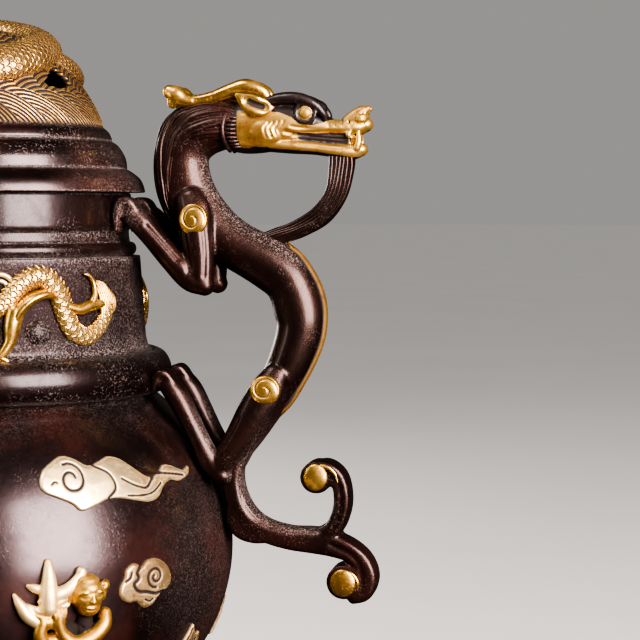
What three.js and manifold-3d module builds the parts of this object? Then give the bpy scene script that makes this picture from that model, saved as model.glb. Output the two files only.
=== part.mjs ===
// Bronze incense burner: round bowl on a spreading foot, banded neck, two dragon handles,
// gilt reliefs and a domed lid wrapped by a coiled dragon.
// Millimetres, +Z up, the handles lie along X, the front of the vessel faces -Y.
import * as THREE from 'three';
import { mergeVertices } from 'three/addons/utils/BufferGeometryUtils.js';
import Module from 'manifold-3d';

const wasm = await Module();
wasm.setup();

// Fits shared by all pieces
const gap = 0.3;
const turns = 30;
const grain = 0.1;
const full = Math.PI * 2;

// Foot
const footHeight = 54;
const footRadius = 80;
const footNeckRadius = 57;
const footPlinth = 9;
const footWall = 6;

// Bowl, a zone of an ellipsoid
const bowlRadius = 119.4;
const bowlSemiHeight = 102.5;
const bowlCentre = 145;
const bowlWall = 4.5;
const bowlMouthRadius = 80;
const bowlRows = 12;
const bowlTop = bowlCentre + bowlRise(bowlMouthRadius);

// Neck from the torus over the bowl up to the mouth
const torusRadius = 89.4;
const torusHeight = 20.5;
const neckFootRadius = 76.7;
const neckTopRadius = 74;
const neckLength = 40.2;
const smallTorusRadius = 71.8;
const rimGroove = 12.6;
const rimBandRadius = 69.6;
const rimBandHeight = 17.8;
const mouthRadius = 65.2;
const neckWall = 5;
const neckBottom = bowlTop + gap;
const neckFootHeight = neckBottom + torusHeight + 6.1;
const neckTopHeight = neckFootHeight + neckLength;
const rimBandFoot = neckTopHeight + rimGroove;
const mouthHeight = rimBandFoot + rimBandHeight;

// Ash liner hanging in the neck on a ledge
const ledgeDepth = 21.6;
const ledgeRadius = 61.5;
const linerDepth = 51;
const linerWall = 1.8;
const ledgeHeight = mouthHeight - ledgeDepth;
const linerFloor = ledgeHeight - linerDepth;

// Lid: three stepped rings, a pierced dome and its dragon
const lidRadius = 76.4;
const lidStepRadius = 68;
const lidUpperRadius = 60.5;
const lidRise = [11.4, 25.4, 32];
const lidFlangeDepth = 6.5;
const lidFlangeFit = 0.8;
const lidWall = 4;
const domeRadius = 56.2;
const domeHeight = 47;
const domeWall = 3.4;
const lidBottom = mouthHeight + gap;
const lidSteps = lidRise.map((rise) => mouthHeight + rise);
const domeFoot = lidSteps[2] + gap;
const smokeHoles = 6;
const smokeHoleAzimuth = 66;

// Dragon handles, spread of the legs from the middle plane
const foreLegSpread = 14;
const hindLegSpread = 14.5;
const limbHalfWidth = 5.6;
const tailHalfWidth = 8;
const buttonRise = 2.4;
const pinRadius = 2.2;
const pinHeadRadius = 4;
const pinHeadDepth = 1.8;
const pinReach = 4;

// Reliefs on the vessel
const cloudRelief = 1.8;
const bearerAzimuth = 38;

// Materials as seen on the piece
const finishes = {
  bronze: { color: 0x2a1612, roughness: 0.34, metalness: 0.85 },
  bronzeDark: { color: 0x17100e, roughness: 0.42, metalness: 0.8 },
  gilt: { color: 0xcf9440, roughness: 0.36, metalness: 0.95 },
  paleGilt: { color: 0xe6c58a, roughness: 0.42, metalness: 0.85 },
  copper: { color: 0x8a5236, roughness: 0.5, metalness: 0.9 },
};

// Solids and meshes

function dropFlatTriangles(geometry) {
  const index = geometry.index.array;
  const kept = [];
  for (let i = 0; i < index.length; i += 3) {
    const [a, b, c] = [index[i], index[i + 1], index[i + 2]];
    if (a !== b && b !== c && c !== a) kept.push(a, b, c);
  }
  return new Uint32Array(kept);
}

function toSolid(geometry) {
  const plain = geometry.clone();
  plain.deleteAttribute('normal');
  plain.deleteAttribute('uv');
  const welded = mergeVertices(plain, 1e-4);
  return new wasm.Manifold(new wasm.Mesh({
    numProp: 3,
    vertProperties: new Float32Array(welded.attributes.position.array),
    triVerts: dropFlatTriangles(welded),
  }));
}

function toGeometry(solid) {
  const mesh = solid.simplify(grain).getMesh();
  const geometry = new THREE.BufferGeometry();
  geometry.setAttribute('position', new THREE.BufferAttribute(new Float32Array(mesh.vertProperties), 3));
  geometry.setIndex(new THREE.BufferAttribute(new Uint32Array(mesh.triVerts), 1));
  const faceted = geometry.toNonIndexed();
  faceted.computeVertexNormals();
  return faceted;
}

function piece(name, solid, finish) {
  const mesh = new THREE.Mesh(toGeometry(solid), new THREE.MeshStandardMaterial(finishes[finish]));
  mesh.name = name;
  return mesh;
}

function unite(solids) {
  return solids.reduce((whole, next) => whole.add(next));
}

// Closed ring or disc turned about the vertical axis from a [radius, height] outline
function turned(outline, segments = turns) {
  const points = outline.map(([radius, height]) => new THREE.Vector2(radius, height));
  const onAxis = outline[0][0] === 0;
  if (!onAxis) points.push(points[0].clone());
  return toSolid(new THREE.LatheGeometry(points, segments).rotateX(Math.PI / 2));
}

// Quarter or part arc of an outline, from one angle to another in degrees
function arc([radius, height], [halfWidth, halfHeight], from, to, rows) {
  const points = [];
  for (let i = 0; i <= rows; i += 1) {
    const angle = THREE.MathUtils.degToRad(from + ((to - from) * i) / rows);
    points.push([radius + halfWidth * Math.cos(angle), height + halfHeight * Math.sin(angle)]);
  }
  return points;
}

// Body swept through [x, y, z, half depth, half width] stations with oval sections.
// The half width runs along the widthways direction, the half depth square to it.
function swept(stations, options = {}) {
  const { sides = 8, steps = 12, widthways = () => new THREE.Vector3(0, 1, 0), corner = 1 } = options;
  const path = new THREE.CatmullRomCurve3(stations.map(([x, y, z]) => new THREE.Vector3(x, y, z)));
  const sizes = new THREE.CatmullRomCurve3(stations.map((s) => new THREE.Vector3(s[3], s[4], 0)));
  const fullness = Math.sqrt(full / (sides * Math.sin(full / sides)));
  const vertices = [];
  for (let i = 0; i <= steps; i += 1) {
    const centre = path.getPoint(i / steps);
    const size = sizes.getPoint(i / steps).multiplyScalar(fullness);
    const along = path.getTangent(i / steps);
    const depth = widthways(centre).clone().cross(along).normalize();
    const width = along.clone().cross(depth).normalize();
    for (let k = 0; k < sides; k += 1) {
      const angle = (full * (k + 0.5)) / sides;
      const u = Math.sign(Math.cos(angle)) * Math.abs(Math.cos(angle)) ** corner;
      const v = Math.sign(Math.sin(angle)) * Math.abs(Math.sin(angle)) ** corner;
      const point = centre.clone().addScaledVector(depth, size.x * u).addScaledVector(width, size.y * v);
      vertices.push(point.x, point.y, point.z);
    }
  }
  const triangles = [];
  for (let i = 0; i < steps; i += 1) {
    for (let k = 0; k < sides; k += 1) {
      const a = i * sides + k;
      const b = i * sides + ((k + 1) % sides);
      triangles.push(a, b, a + sides, b, b + sides, a + sides);
    }
  }
  for (let k = 1; k < sides - 1; k += 1) {
    triangles.push(0, k + 1, k);
    const last = steps * sides;
    triangles.push(last, last + k, last + k + 1);
  }
  return new wasm.Manifold(new wasm.Mesh({
    numProp: 3,
    vertProperties: new Float32Array(vertices),
    triVerts: new Uint32Array(triangles),
  }));
}

// Ball stretched to three half sizes and set at a point
function ovoid([x, y, z], [a, b, c], [around, rows] = [10, 7]) {
  const ball = new THREE.SphereGeometry(1, around, rows).rotateX(Math.PI / 2).scale(a, b, c);
  return toSolid(ball.translate(x, y, z));
}

// Round bar between two points, with one radius at each end
function bar(from, to, startRadius, endRadius, sides = 10) {
  const start = new THREE.Vector3(...from);
  const along = new THREE.Vector3(...to).sub(start);
  const rod = new THREE.CylinderGeometry(endRadius, startRadius, along.length(), sides);
  rod.translate(0, along.length() / 2, 0);
  const upright = new THREE.Vector3(0, 1, 0);
  rod.applyQuaternion(new THREE.Quaternion().setFromUnitVectors(upright, along.normalize()));
  return toSolid(rod.translate(start.x, start.y, start.z));
}

// Bowl

function bowlRise(radius, offset = 0) {
  return (bowlSemiHeight + offset) * Math.sqrt(1 - (radius / (bowlRadius + offset)) ** 2);
}

// Ellipse of the bowl from the bottom on the axis up to its mouth
function bowlCurve(offset, rows = bowlRows) {
  const end = Math.acos(bowlMouthRadius / bowlRadius);
  const points = [];
  for (let i = 0; i <= rows; i += 1) {
    const angle = -Math.PI / 2 + ((end + Math.PI / 2) * i) / rows;
    const radius = i === 0 ? 0 : (bowlRadius + offset) * Math.cos(angle);
    points.push([radius, bowlCentre + (bowlSemiHeight + offset) * Math.sin(angle)]);
  }
  return points;
}

function bowlSolid() {
  const inside = bowlCurve(-bowlWall, bowlRows - 3).slice(0, -1);
  return turned([...bowlCurve(0), [bowlMouthRadius - bowlWall, bowlTop], ...inside.reverse()]);
}

function bowlGrown(offset) {
  return turned([...bowlCurve(offset), [0, bowlTop + offset]]);
}

// Foot

function footSolid() {
  const seat = bowlCentre - bowlRise(footNeckRadius, gap);
  const innerRadius = footNeckRadius - footWall;
  const innerSeat = bowlCentre - bowlRise(innerRadius, gap);
  const waist = footHeight * 0.86;
  return turned([
    [footRadius - footWall, 0],
    [footRadius, 0],
    [footRadius, footPlinth * 0.7],
    [footRadius - 3, footPlinth],
    ...arc([footRadius - 3, waist], [footNeckRadius + 3 - footRadius, waist - footPlinth], -90, 0, 6).slice(1),
    [footNeckRadius + 3, footHeight * 0.93],
    [footNeckRadius, seat],
    [innerRadius, innerSeat],
    [innerRadius + 2, footHeight * 0.7],
    [innerRadius + 10, footHeight * 0.32],
    [footRadius - footWall - 2, footPlinth * 0.8],
  ]);
}

// Neck

function neckRadiusAt(height) {
  const share = (height - neckFootHeight) / (neckTopHeight - neckFootHeight);
  return neckFootRadius + (neckTopRadius - neckFootRadius) * share;
}

function neckSolid() {
  const torusMiddle = neckBottom + torusHeight / 2;
  const torusHalf = [torusRadius - bowlMouthRadius, torusHeight / 2];
  return turned([
    [bowlMouthRadius - bowlWall, neckBottom],
    [bowlMouthRadius, neckBottom],
    ...arc([bowlMouthRadius, torusMiddle], torusHalf, -80, 84, 6),
    [neckFootRadius + 1.4, neckBottom + torusHeight + 2.2],
    [neckFootRadius, neckFootHeight],
    [neckTopRadius, neckTopHeight - 1.2],
    [neckTopRadius - 1, neckTopHeight],
    [smallTorusRadius - 1.6, neckTopHeight + 0.6],
    [smallTorusRadius, neckTopHeight + 3],
    [smallTorusRadius, neckTopHeight + 6],
    [rimBandRadius - 1, rimBandFoot - 3],
    [rimBandRadius - 1, rimBandFoot],
    [rimBandRadius, rimBandFoot + 2],
    [rimBandRadius, mouthHeight],
    [mouthRadius, mouthHeight],
    [mouthRadius, ledgeHeight],
    [ledgeRadius, ledgeHeight],
    [ledgeRadius, ledgeHeight - 4],
    [neckTopRadius - neckWall, ledgeHeight - 12],
    [neckFootRadius - neckWall, neckFootHeight],
  ]);
}

function neckGrown(offset) {
  return turned([
    [0, neckFootHeight - 12],
    [neckRadiusAt(neckFootHeight - 12) + offset, neckFootHeight - 12],
    [neckRadiusAt(neckTopHeight + 12) + offset, neckTopHeight + 12],
    [0, neckTopHeight + 12],
  ]);
}

function rimGrown(offset) {
  return turned([
    [0, rimBandFoot - 30],
    [smallTorusRadius + offset, rimBandFoot - 30],
    [smallTorusRadius + offset, rimBandFoot - 3],
    [rimBandRadius + offset, rimBandFoot - 1],
    [rimBandRadius + offset, mouthHeight + offset],
    [0, mouthHeight + offset],
  ]);
}

// Ash liner

function linerSolid() {
  const wallRadius = ledgeRadius - 0.8;
  const rimTop = ledgeHeight + gap + linerWall;
  return turned([
    [0, linerFloor],
    [wallRadius - 6, linerFloor],
    [wallRadius - 1.8, linerFloor + 3],
    [wallRadius, ledgeHeight + gap],
    [mouthRadius - 1, ledgeHeight + gap],
    [mouthRadius - 1, rimTop],
    [wallRadius - linerWall, rimTop],
    [wallRadius - linerWall - 2.4, linerFloor + 4.5],
    [wallRadius - 7, linerFloor + linerWall],
    [0, linerFloor + linerWall],
  ]);
}

// Lid

function lidRimSolid() {
  const flangeRadius = mouthRadius - lidFlangeFit;
  const [lowStep, highStep, top] = lidSteps;
  const domeSeat = domeRadius - domeWall;
  return turned([
    [flangeRadius, lidBottom - lidFlangeDepth],
    [flangeRadius, lidBottom],
    ...arc([lidStepRadius, lidBottom], [lidRadius - lidStepRadius, lowStep - lidBottom], 0, 80, 4),
    [lidStepRadius, lowStep],
    ...arc([lidUpperRadius, lowStep], [lidStepRadius - lidUpperRadius, highStep - lowStep], 10, 80, 3),
    [lidUpperRadius, highStep],
    ...arc([domeRadius, highStep], [lidUpperRadius - domeRadius, top - highStep], 10, 90, 2),
    [domeSeat, top],
    [lidUpperRadius - lidWall - 2, highStep - 5],
    [flangeRadius - lidWall, lowStep - 5],
    [flangeRadius - lidWall, lidBottom - lidFlangeDepth],
  ]);
}

// Height of the dome shell over its foot at a radius
function domeRise(radius, offset = 0) {
  const share = Math.min(1, radius / (domeRadius + offset));
  return (domeHeight + offset) * (1 - share ** 2.1) ** 0.78;
}

function domeOutline(offset, rows = 8) {
  const points = [];
  for (let i = 0; i <= rows; i += 1) {
    const radius = (domeRadius + offset) * Math.cos((Math.PI / 2) * (i / rows));
    points.push([i === rows ? 0 : radius, domeFoot + domeRise(radius, offset)]);
  }
  return points;
}

function smokeHole() {
  const outline = new THREE.Shape([
    new THREE.Vector2(-9, -3.4),
    new THREE.Vector2(7, -4.4),
    new THREE.Vector2(9.5, 0),
    new THREE.Vector2(3, 5.4),
  ]);
  const prism = new THREE.ExtrudeGeometry(outline, { depth: 60, bevelEnabled: false });
  return toSolid(prism.rotateX(Math.PI / 2).translate(0, 0, domeFoot + 19));
}

function domeSolid() {
  const outside = domeOutline(0);
  const inside = domeOutline(-domeWall).reverse();
  let shell = turned([...inside, ...outside]);
  const hole = smokeHole();
  for (let i = 0; i < smokeHoles; i += 1) {
    shell = shell.subtract(hole.rotate([0, 0, smokeHoleAzimuth + (360 * i) / smokeHoles]));
  }
  return shell;
}

// Way of the lid dragon over the dome as [degrees from the front, radius, half width, half lift]
const coilWay = [
  [80, 43.5, 2.4, 1.8], [105, 43, 5, 3.2], [150, 42.5, 7.6, 5.4], [200, 43, 8.6, 6.3], [250, 44, 9, 6.6],
  [300, 44.5, 9.1, 6.7], [345, 43.6, 9.2, 6.9], [385, 41, 9.4, 7.2], [408, 36.5, 9.4, 7.8],
  [425, 32, 9.4, 8.4], [452, 26, 9.2, 8.8], [490, 20, 8.8, 9.2], [540, 16.5, 8.2, 9.6],
  [600, 16, 8, 9.6], [645, 19, 8.2, 8.8], [672, 25, 8.6, 7.4], [688, 30, 5.6, 5],
];

function domeNormal(centre) {
  const radius = Math.hypot(centre.x, centre.y);
  const fall = domeRise(radius - 0.5) - domeRise(radius + 0.5);
  return new THREE.Vector3((centre.x / radius) * fall, (centre.y / radius) * fall, 1).normalize();
}

function lidDragonSolid() {
  const stations = coilWay.map(([azimuth, radius, halfWidth, halfLift]) => {
    const angle = THREE.MathUtils.degToRad(azimuth - 90);
    const height = domeFoot + domeRise(radius);
    return [radius * Math.cos(angle), radius * Math.sin(angle), height, halfWidth, halfLift];
  });
  const coil = swept(stations, { sides: 6, steps: 38, widthways: domeNormal });
  return coil.subtract(turned([[0, domeFoot - 5], [domeRadius, domeFoot - 5], ...domeOutline(gap)]));
}

// Dragon handle: body, built in the plane of the handle

// Heights on the vessel, and the reach of its wall there, that the dragon's stations were laid out from
const laidOut = [
  { height: 145, radius: 119.4 },
  { height: 221.4, radius: 89.4 },
  { height: 300.8, radius: 69.6 },
];

// The same three places on the vessel as it is
const landmarks = [
  { height: bowlCentre, radius: bowlRadius },
  { height: neckBottom, radius: torusRadius },
  { height: rimBandFoot, radius: rimBandRadius },
];

// Moves a station up and out with the part of the vessel that it lies beside
function beside([x, y, z, ...halves]) {
  const shifts = landmarks.map(({ height, radius }, i) => (
    [height - laidOut[i].height, radius - laidOut[i].radius]));
  const above = z < laidOut[1].height ? 1 : 2;
  const from = laidOut[above - 1].height;
  const share = THREE.MathUtils.clamp((z - from) / (laidOut[above].height - from), 0, 1);
  const [up, out] = [0, 1].map((way) => (
    THREE.MathUtils.lerp(shifts[above - 1][way], shifts[above][way], share)));
  return [x + out, y, z + up, ...halves];
}

function dragonSwept(stations, options) {
  return swept(stations.map(beside), options);
}

// Centre line of the neck and trunk from behind the head down to the root of the tail
const trunkStations = [
  [127, 0, 351, 11.5, 10],
  [116, 0, 351, 12.5, 11],
  [104, 0, 347, 14, 11.5],
  [98.5, 0, 337, 12.8, 11],
  [98.8, 0, 325, 13.2, 11],
  [103, 0, 313, 13.8, 11.5],
  [112, 0, 301.5, 13.5, 12.5],
  [125, 0, 293, 11.8, 12.5],
  [141.5, 0, 284, 12.6, 12],
  [150.8, 0, 275.6, 12.2, 11.8],
  [155.3, 0, 263, 12.5, 11.5],
  [155.6, 0, 252, 11.7, 11.2],
  [150.5, 0, 237, 10.8, 11],
  [143, 0, 223.5, 9.5, 10.5],
  [134.5, 0, 210, 8.6, 9.5],
  [127.5, 0, 199, 7.4, 8.5],
];

function grownStations(stations, offset) {
  return stations.map(([x, y, z, depth, width]) => [x, y, z, depth + offset, width + offset]);
}

function trunkSolid(offset = 0) {
  return dragonSwept(grownStations(trunkStations, offset), { sides: 10, steps: 24 });
}

// Head with brow, snout, lower jaw, teeth, eyes and ears

const skullStations = [
  [127 + gap, 0, 351, 11.5, 10],
  [136, 0, 351, 12, 11.8],
  [147, 0, 352, 12.4, 11],
  [156, 0, 353.5, 11, 10],
  [163, 0, 353, 9, 8.6],
  [169, 0, 349.6, 4.6, 7],
  [176, 0, 349, 4, 6.2],
  [183, 0, 350.8, 5, 6],
  [188.5, 0, 351.5, 4.2, 4.4],
];

const jawStations = [
  [140, 0, 344.5, 4, 9],
  [152, 0, 342.6, 3.4, 8.4],
  [163, 0, 340.8, 2.9, 7.2],
  [174, 0, 339.2, 2.9, 6.2],
  [184, 0, 338.6, 3.6, 4.8],
];

function jawSolid(offset = 0) {
  return dragonSwept(grownStations(jawStations, offset), { sides: 8, steps: 6, corner: 0.8 });
}

function skullSolid(offset = 0) {
  return dragonSwept(grownStations(skullStations, offset), { sides: 8, steps: 10 });
}

function headSolid() {
  const parts = [skullSolid(), jawSolid()];
  for (const side of [-1, 1]) {
    parts.push(ovoid(beside([161.5, side * 8, 356]), [4.4, 3.2, 4.2], [8, 5]));
    parts.push(ovoid(beside([186, side * 3.8, 355]), [3.4, 2.4, 3.2], [6, 4]));
    parts.push(bar(beside([182.5, side * 3.4, 338.6]), beside([183.5, side * 3.2, 349]), 1.5, 1.2, 5));
    parts.push(dragonSwept([
      [143, side * 10.5, 357, 2.4, 1.6],
      [136, side * 12.6, 358.6, 4.6, 1.7],
      [128.5, side * 13.4, 363, 1.4, 1],
    ], { sides: 5, steps: 3 }));
  }
  return unite(parts).subtract(trunkSolid(gap));
}

// Antler lying back over the mane
function hornSolid(side) {
  const horn = dragonSwept([
    [139, side * 5, 365.4, 2.4, 2.4],
    [131, side * 5.6, 368.2, 3, 3],
    [120, side * 6, 365.8, 2.7, 2.8],
    [108, side * 6.4, 363.4, 2.7, 2.7],
    [99, side * 6.8, 363.4, 3.6, 3],
    [93, side * 7, 365.2, 3.8, 3.2],
  ], { sides: 6, steps: 9 });
  return horn.subtract(trunkSolid(gap)).subtract(skullSolid(gap));
}

// Beard bowing from the chin back to the breast
function beardSolid() {
  const beard = dragonSwept([
    [173, 0, 339, 6, 5],
    [173, 0, 329, 5.8, 5],
    [170, 0, 317, 5, 4.8],
    [163, 0, 307.5, 4.4, 4.6],
    [152, 0, 301, 4, 4.6],
    [142, 0, 297, 4, 4.4],
  ], { sides: 6, steps: 9, corner: 0.8 });
  return beard.subtract(trunkSolid(gap)).subtract(jawSolid(gap));
}

// Fore leg: shoulder, elbow and the paw that grips the rim band
function foreLegSolid(side) {
  const y = side * foreLegSpread;
  const half = limbHalfWidth;
  const upper = dragonSwept([
    [106.5, y - side * 1.5, 311, 8.6, half],
    [108, y, 299, 8, half + 0.4],
    [110, y, 286, 6.8, half],
    [110.5, y, 274.5, 5.6, half - 0.4],
  ], { sides: 6, steps: 4 });
  const fore = dragonSwept([
    [111.5, y, 274, 5, half - 0.4],
    [104.5, y, 277.5, 6.4, half],
    [96, y, 287, 6, half],
    [87, y, 298, 6, half],
    [80.5, y, 305.5, 6.6, half + 0.6],
    [74.5, y, 309, 6.4, half + 1],
    [69.6, y, 306, 5.2, half + 0.8],
    [69, y, 300, 3, half],
  ], { sides: 6, steps: 9 });
  const shoulder = beside([106.5, side * (foreLegSpread + half - 2), 308]);
  const button = ovoid(shoulder, [6.4, buttonRise + 1.2, 7.2], [8, 5]);
  return unite([upper, fore, button]).subtract(trunkSolid(gap)).subtract(rimGrown(gap));
}

// Hind leg: haunch, knee and the foot lying on the shoulder of the bowl
function hindLegSolid(side) {
  const y = side * hindLegSpread;
  const half = limbHalfWidth;
  const thigh = dragonSwept([
    [142, y - side * 2, 225, 9, half],
    [136.5, y - side, 215, 8.8, half + 0.6],
    [129.5, y, 203, 7.4, half],
    [122.5, y, 192.5, 6.2, half],
    [118, y, 185.5, 5, half - 0.6],
  ], { sides: 6, steps: 5 });
  const foot = dragonSwept([
    [120.5, y, 183.5, 4.6, half - 0.6],
    [114.5, y, 191, 5.6, half],
    [109, y, 202, 5, half],
    [103.5, y, 213, 5, half + 0.4],
    [98.5, y, 222, 5.6, half + 0.8],
    [94, y, 228, 5.4, half + 0.4],
    [88.6, y, 230.4, 4.6, half - 0.4],
  ], { sides: 6, steps: 7 });
  const haunch = beside([141.5, side * (hindLegSpread + half - 3), 225.2]);
  const button = ovoid(haunch, [6.6, buttonRise + 1.4, 6.6], [8, 5]);
  const vessel = unite([bowlGrown(gap), turned([
    [0, neckBottom - 4],
    [torusRadius + gap, neckBottom - 4],
    [torusRadius + gap, neckBottom + torusHeight],
    [0, neckBottom + torusHeight],
  ])]);
  return unite([thigh, foot, button]).subtract(trunkSolid(gap)).subtract(tailRootSolid(gap)).subtract(vessel);
}

// Tail from its root to the lower scroll
function tailRootSolid(offset = 0) {
  const width = tailHalfWidth;
  return dragonSwept(grownStations([
    [125.8, 0, 196.5, 6.2, width],
    [123.4, 0, 188, 4.8, width],
    [123, 0, 179, 4.8, width],
    [125.6, 0, 169.4, 5, width],
    [131, 0, 161.2, 5.2, width],
    [139.5, 0, 155.8, 5.2, width],
    [151, 0, 152.8, 5.4, width],
    [162, 0, 152, 6, width],
    [172, 0, 150.4, 5.8, width],
    [181, 0, 147, 5, width],
    [187, 0, 141.6, 4.6, width],
    [189.4, 0, 134.6, 4.4, width],
    [187.4, 0, 128, 4, width],
    [182, 0, 125.8, 3.6, width],
  ], offset), { sides: 6, steps: 18, corner: 0.7 });
}

// Whole tail with the upper scroll and the raised gilt buttons
function tailSolid() {
  const width = tailHalfWidth;
  const upper = dragonSwept([
    [163, 0, 153, 3.6, width - 0.6],
    [172, 0, 158, 4.2, width],
    [176, 0, 166.5, 4.2, width],
    [176.6, 0, 175, 4.1, width],
    [174.4, 0, 183, 4, width],
    [168.6, 0, 187.4, 3.8, width],
    [162.4, 0, 186, 3.4, width],
  ], { sides: 6, steps: 9, corner: 0.7 });
  const rollUpper = bar(beside([164.4, -width, 183]), beside([164.4, width, 183]), 7, 7);
  const rollLower = bar(beside([177.6, -width, 133]), beside([177.6, width, 133]), 8, 8);
  const buttons = [-1, 1].flatMap((side) => [
    ovoid(beside([164.4, side * width, 183]), [6, buttonRise, 7]),
    ovoid(beside([177.6, side * width, 133]), [6, buttonRise, 6.6]),
  ]);
  return unite([tailRootSolid(), upper, rollUpper, rollLower, ...buttons]).subtract(trunkSolid(gap));
}

// Countersunk pin joining a paw to the wall of the neck
const rimWall = rimBandRadius - mouthRadius;
const torusWall = torusRadius - bowlMouthRadius + bowlWall;
const pins = [
  { radius: rimBandRadius, height: rimBandFoot + 4.2, spread: foreLegSpread, wall: rimWall },
  { radius: torusRadius - 0.2, height: neckBottom + 9, spread: hindLegSpread, wall: torusWall + 1.1 },
];

function pinAxis({ radius, height, spread }, side) {
  const azimuth = side * Math.asin(spread / radius);
  const out = new THREE.Vector3(Math.cos(azimuth), Math.sin(azimuth), 0);
  const seat = new THREE.Vector3(radius * Math.cos(azimuth), radius * Math.sin(azimuth), height);
  return { seat, out };
}

function pinSolid(pin, side, grow = 0) {
  const { seat, out } = pinAxis(pin, side);
  const at = (depth) => seat.clone().addScaledVector(out, depth).toArray();
  const head = pinHeadRadius + grow;
  const shank = pinRadius + grow;
  const face = 0.5 - pin.wall;
  const parts = [
    bar(at(face), at(face + pinHeadDepth), head, shank, 8),
    bar(at(face + pinHeadDepth - 0.2), at(pinReach + grow), shank, shank, 8),
  ];
  if (grow) parts.push(bar(at(face - 4), at(face + 0.1), head, head, 8));
  return unite(parts);
}

function pinHoles(half = 1) {
  return pins.flatMap((pin) => [-1, 1].map((side) => pinSolid(pin, side, gap)))
    .map((solid) => (half < 0 ? solid.rotate([0, 0, 180]) : solid));
}

function handle(label) {
  const group = new THREE.Group();
  group.name = `handle_${label}`;
  const name = (part) => `${label}_dragon_${part}`;
  group.add(piece(name('body'), trunkSolid(), 'bronze'));
  group.add(piece(name('head'), headSolid(), 'gilt'));
  group.add(piece(name('beard'), beardSolid(), 'bronzeDark'));
  group.add(piece(name('tail'), tailSolid(), 'bronzeDark'));
  for (const [side, place] of [[-1, 'a'], [1, 'b']]) {
    const [forePin, hindPin] = pins;
    group.add(piece(name(`horn_${place}`), hornSolid(side), 'gilt'));
    group.add(piece(name(`fore_leg_${place}`),
      foreLegSolid(side).subtract(pinSolid(forePin, side, gap)), 'bronzeDark'));
    group.add(piece(name(`hind_leg_${place}`),
      hindLegSolid(side).subtract(pinSolid(hindPin, side, gap)), 'bronzeDark'));
    group.add(piece(name(`fore_pin_${place}`), pinSolid(forePin, side), 'copper'));
    group.add(piece(name(`hind_pin_${place}`), pinSolid(hindPin, side), 'copper'));
  }
  return group;
}

// Reliefs laid on the vessel, placed by the angle from the front and the height

function onSurface(radiusAt, azimuth, height, lift = 0) {
  const angle = THREE.MathUtils.degToRad(azimuth);
  const radius = radiusAt(height) + lift;
  return [radius * Math.sin(angle), -radius * Math.cos(angle), height];
}

const radial = (centre) => new THREE.Vector3(centre.x, centre.y, 0).normalize();

function bowlRadiusAt(height) {
  return bowlRadius * Math.sqrt(1 - ((height - bowlCentre) / bowlSemiHeight) ** 2);
}

// Flat outline in [across, up] millimetres pressed onto the bowl as a thin plate
function bowlPlate(outline, azimuth, height, hand) {
  const radius = bowlRadiusAt(height);
  const shape = new THREE.Shape(outline.map(([across, up]) => new THREE.Vector2(
    hand * radius * Math.sin(across / radius), up)));
  const prism = new THREE.ExtrudeGeometry(shape, { depth: radius, bevelEnabled: false });
  prism.rotateX(Math.PI / 2).translate(0, -radius * 0.4, height);
  const skin = bowlGrown(gap + cloudRelief).subtract(bowlGrown(gap));
  return toSolid(prism).rotate([0, 0, hand * azimuth]).intersect(skin);
}

const bigCloud = [
  [-43, 3], [-38, 11], [-28, 14], [-16, 9], [-6, 12], [4, 8], [14, 1], [24, 4], [33, 4], [44, -1],
  [36, -5], [24, -2], [13, -9], [2, -8], [-14, -6], [-25, -9], [-33, -6], [-37, 0],
];
const smallCloud = [[-15, -4], [-10, 7], [1, 9], [11, 6], [15, -2], [9, -5], [1, -13], [-7, -8]];
const rocks = [[-16, -9], [-9, 0], [-4, -2], [2, 9], [8, 3], [13, 1], [18, -8], [4, -12]];

// Scaled dragon chasing the pearl round the neck
function neckDragonSolid(hand) {
  const at = (azimuth, rise, depth, width) => [
    ...onSurface(neckRadiusAt, hand * azimuth, neckFootHeight + rise, 0.6), depth, width];
  const coil = swept([
    at(13, 14, 4.6, 3.4), at(19, 15, 4, 3.4), at(25, 20, 4.4, 3.6), at(31, 28.5, 5, 3.8),
    at(38, 31.6, 5, 3.8), at(43.5, 25, 5, 3.8), at(46, 15.5, 4.8, 3.8), at(49, 6.6, 4.4, 3.6),
    at(55, 3.6, 4.2, 3.4), at(61, 8.5, 3.8, 3.2), at(65, 16, 4.2, 3), at(67, 23, 2, 2),
  ], { sides: 6, steps: 17, widthways: radial });
  const muzzle = swept([
    at(14, 15, 5.4, 4.2), at(9.5, 18, 4.6, 4), at(6, 15, 2.4, 2.4),
  ], { sides: 6, steps: 2, widthways: radial });
  return unite([coil, muzzle]).subtract(neckGrown(gap));
}

function pearlSolid() {
  const [x, y, z] = onSurface(neckRadiusAt, 0, neckFootHeight + 18, 0);
  return ovoid([x, y, z], [5.4, 4.4, 5.4], [10, 6]).subtract(neckGrown(gap));
}

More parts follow.
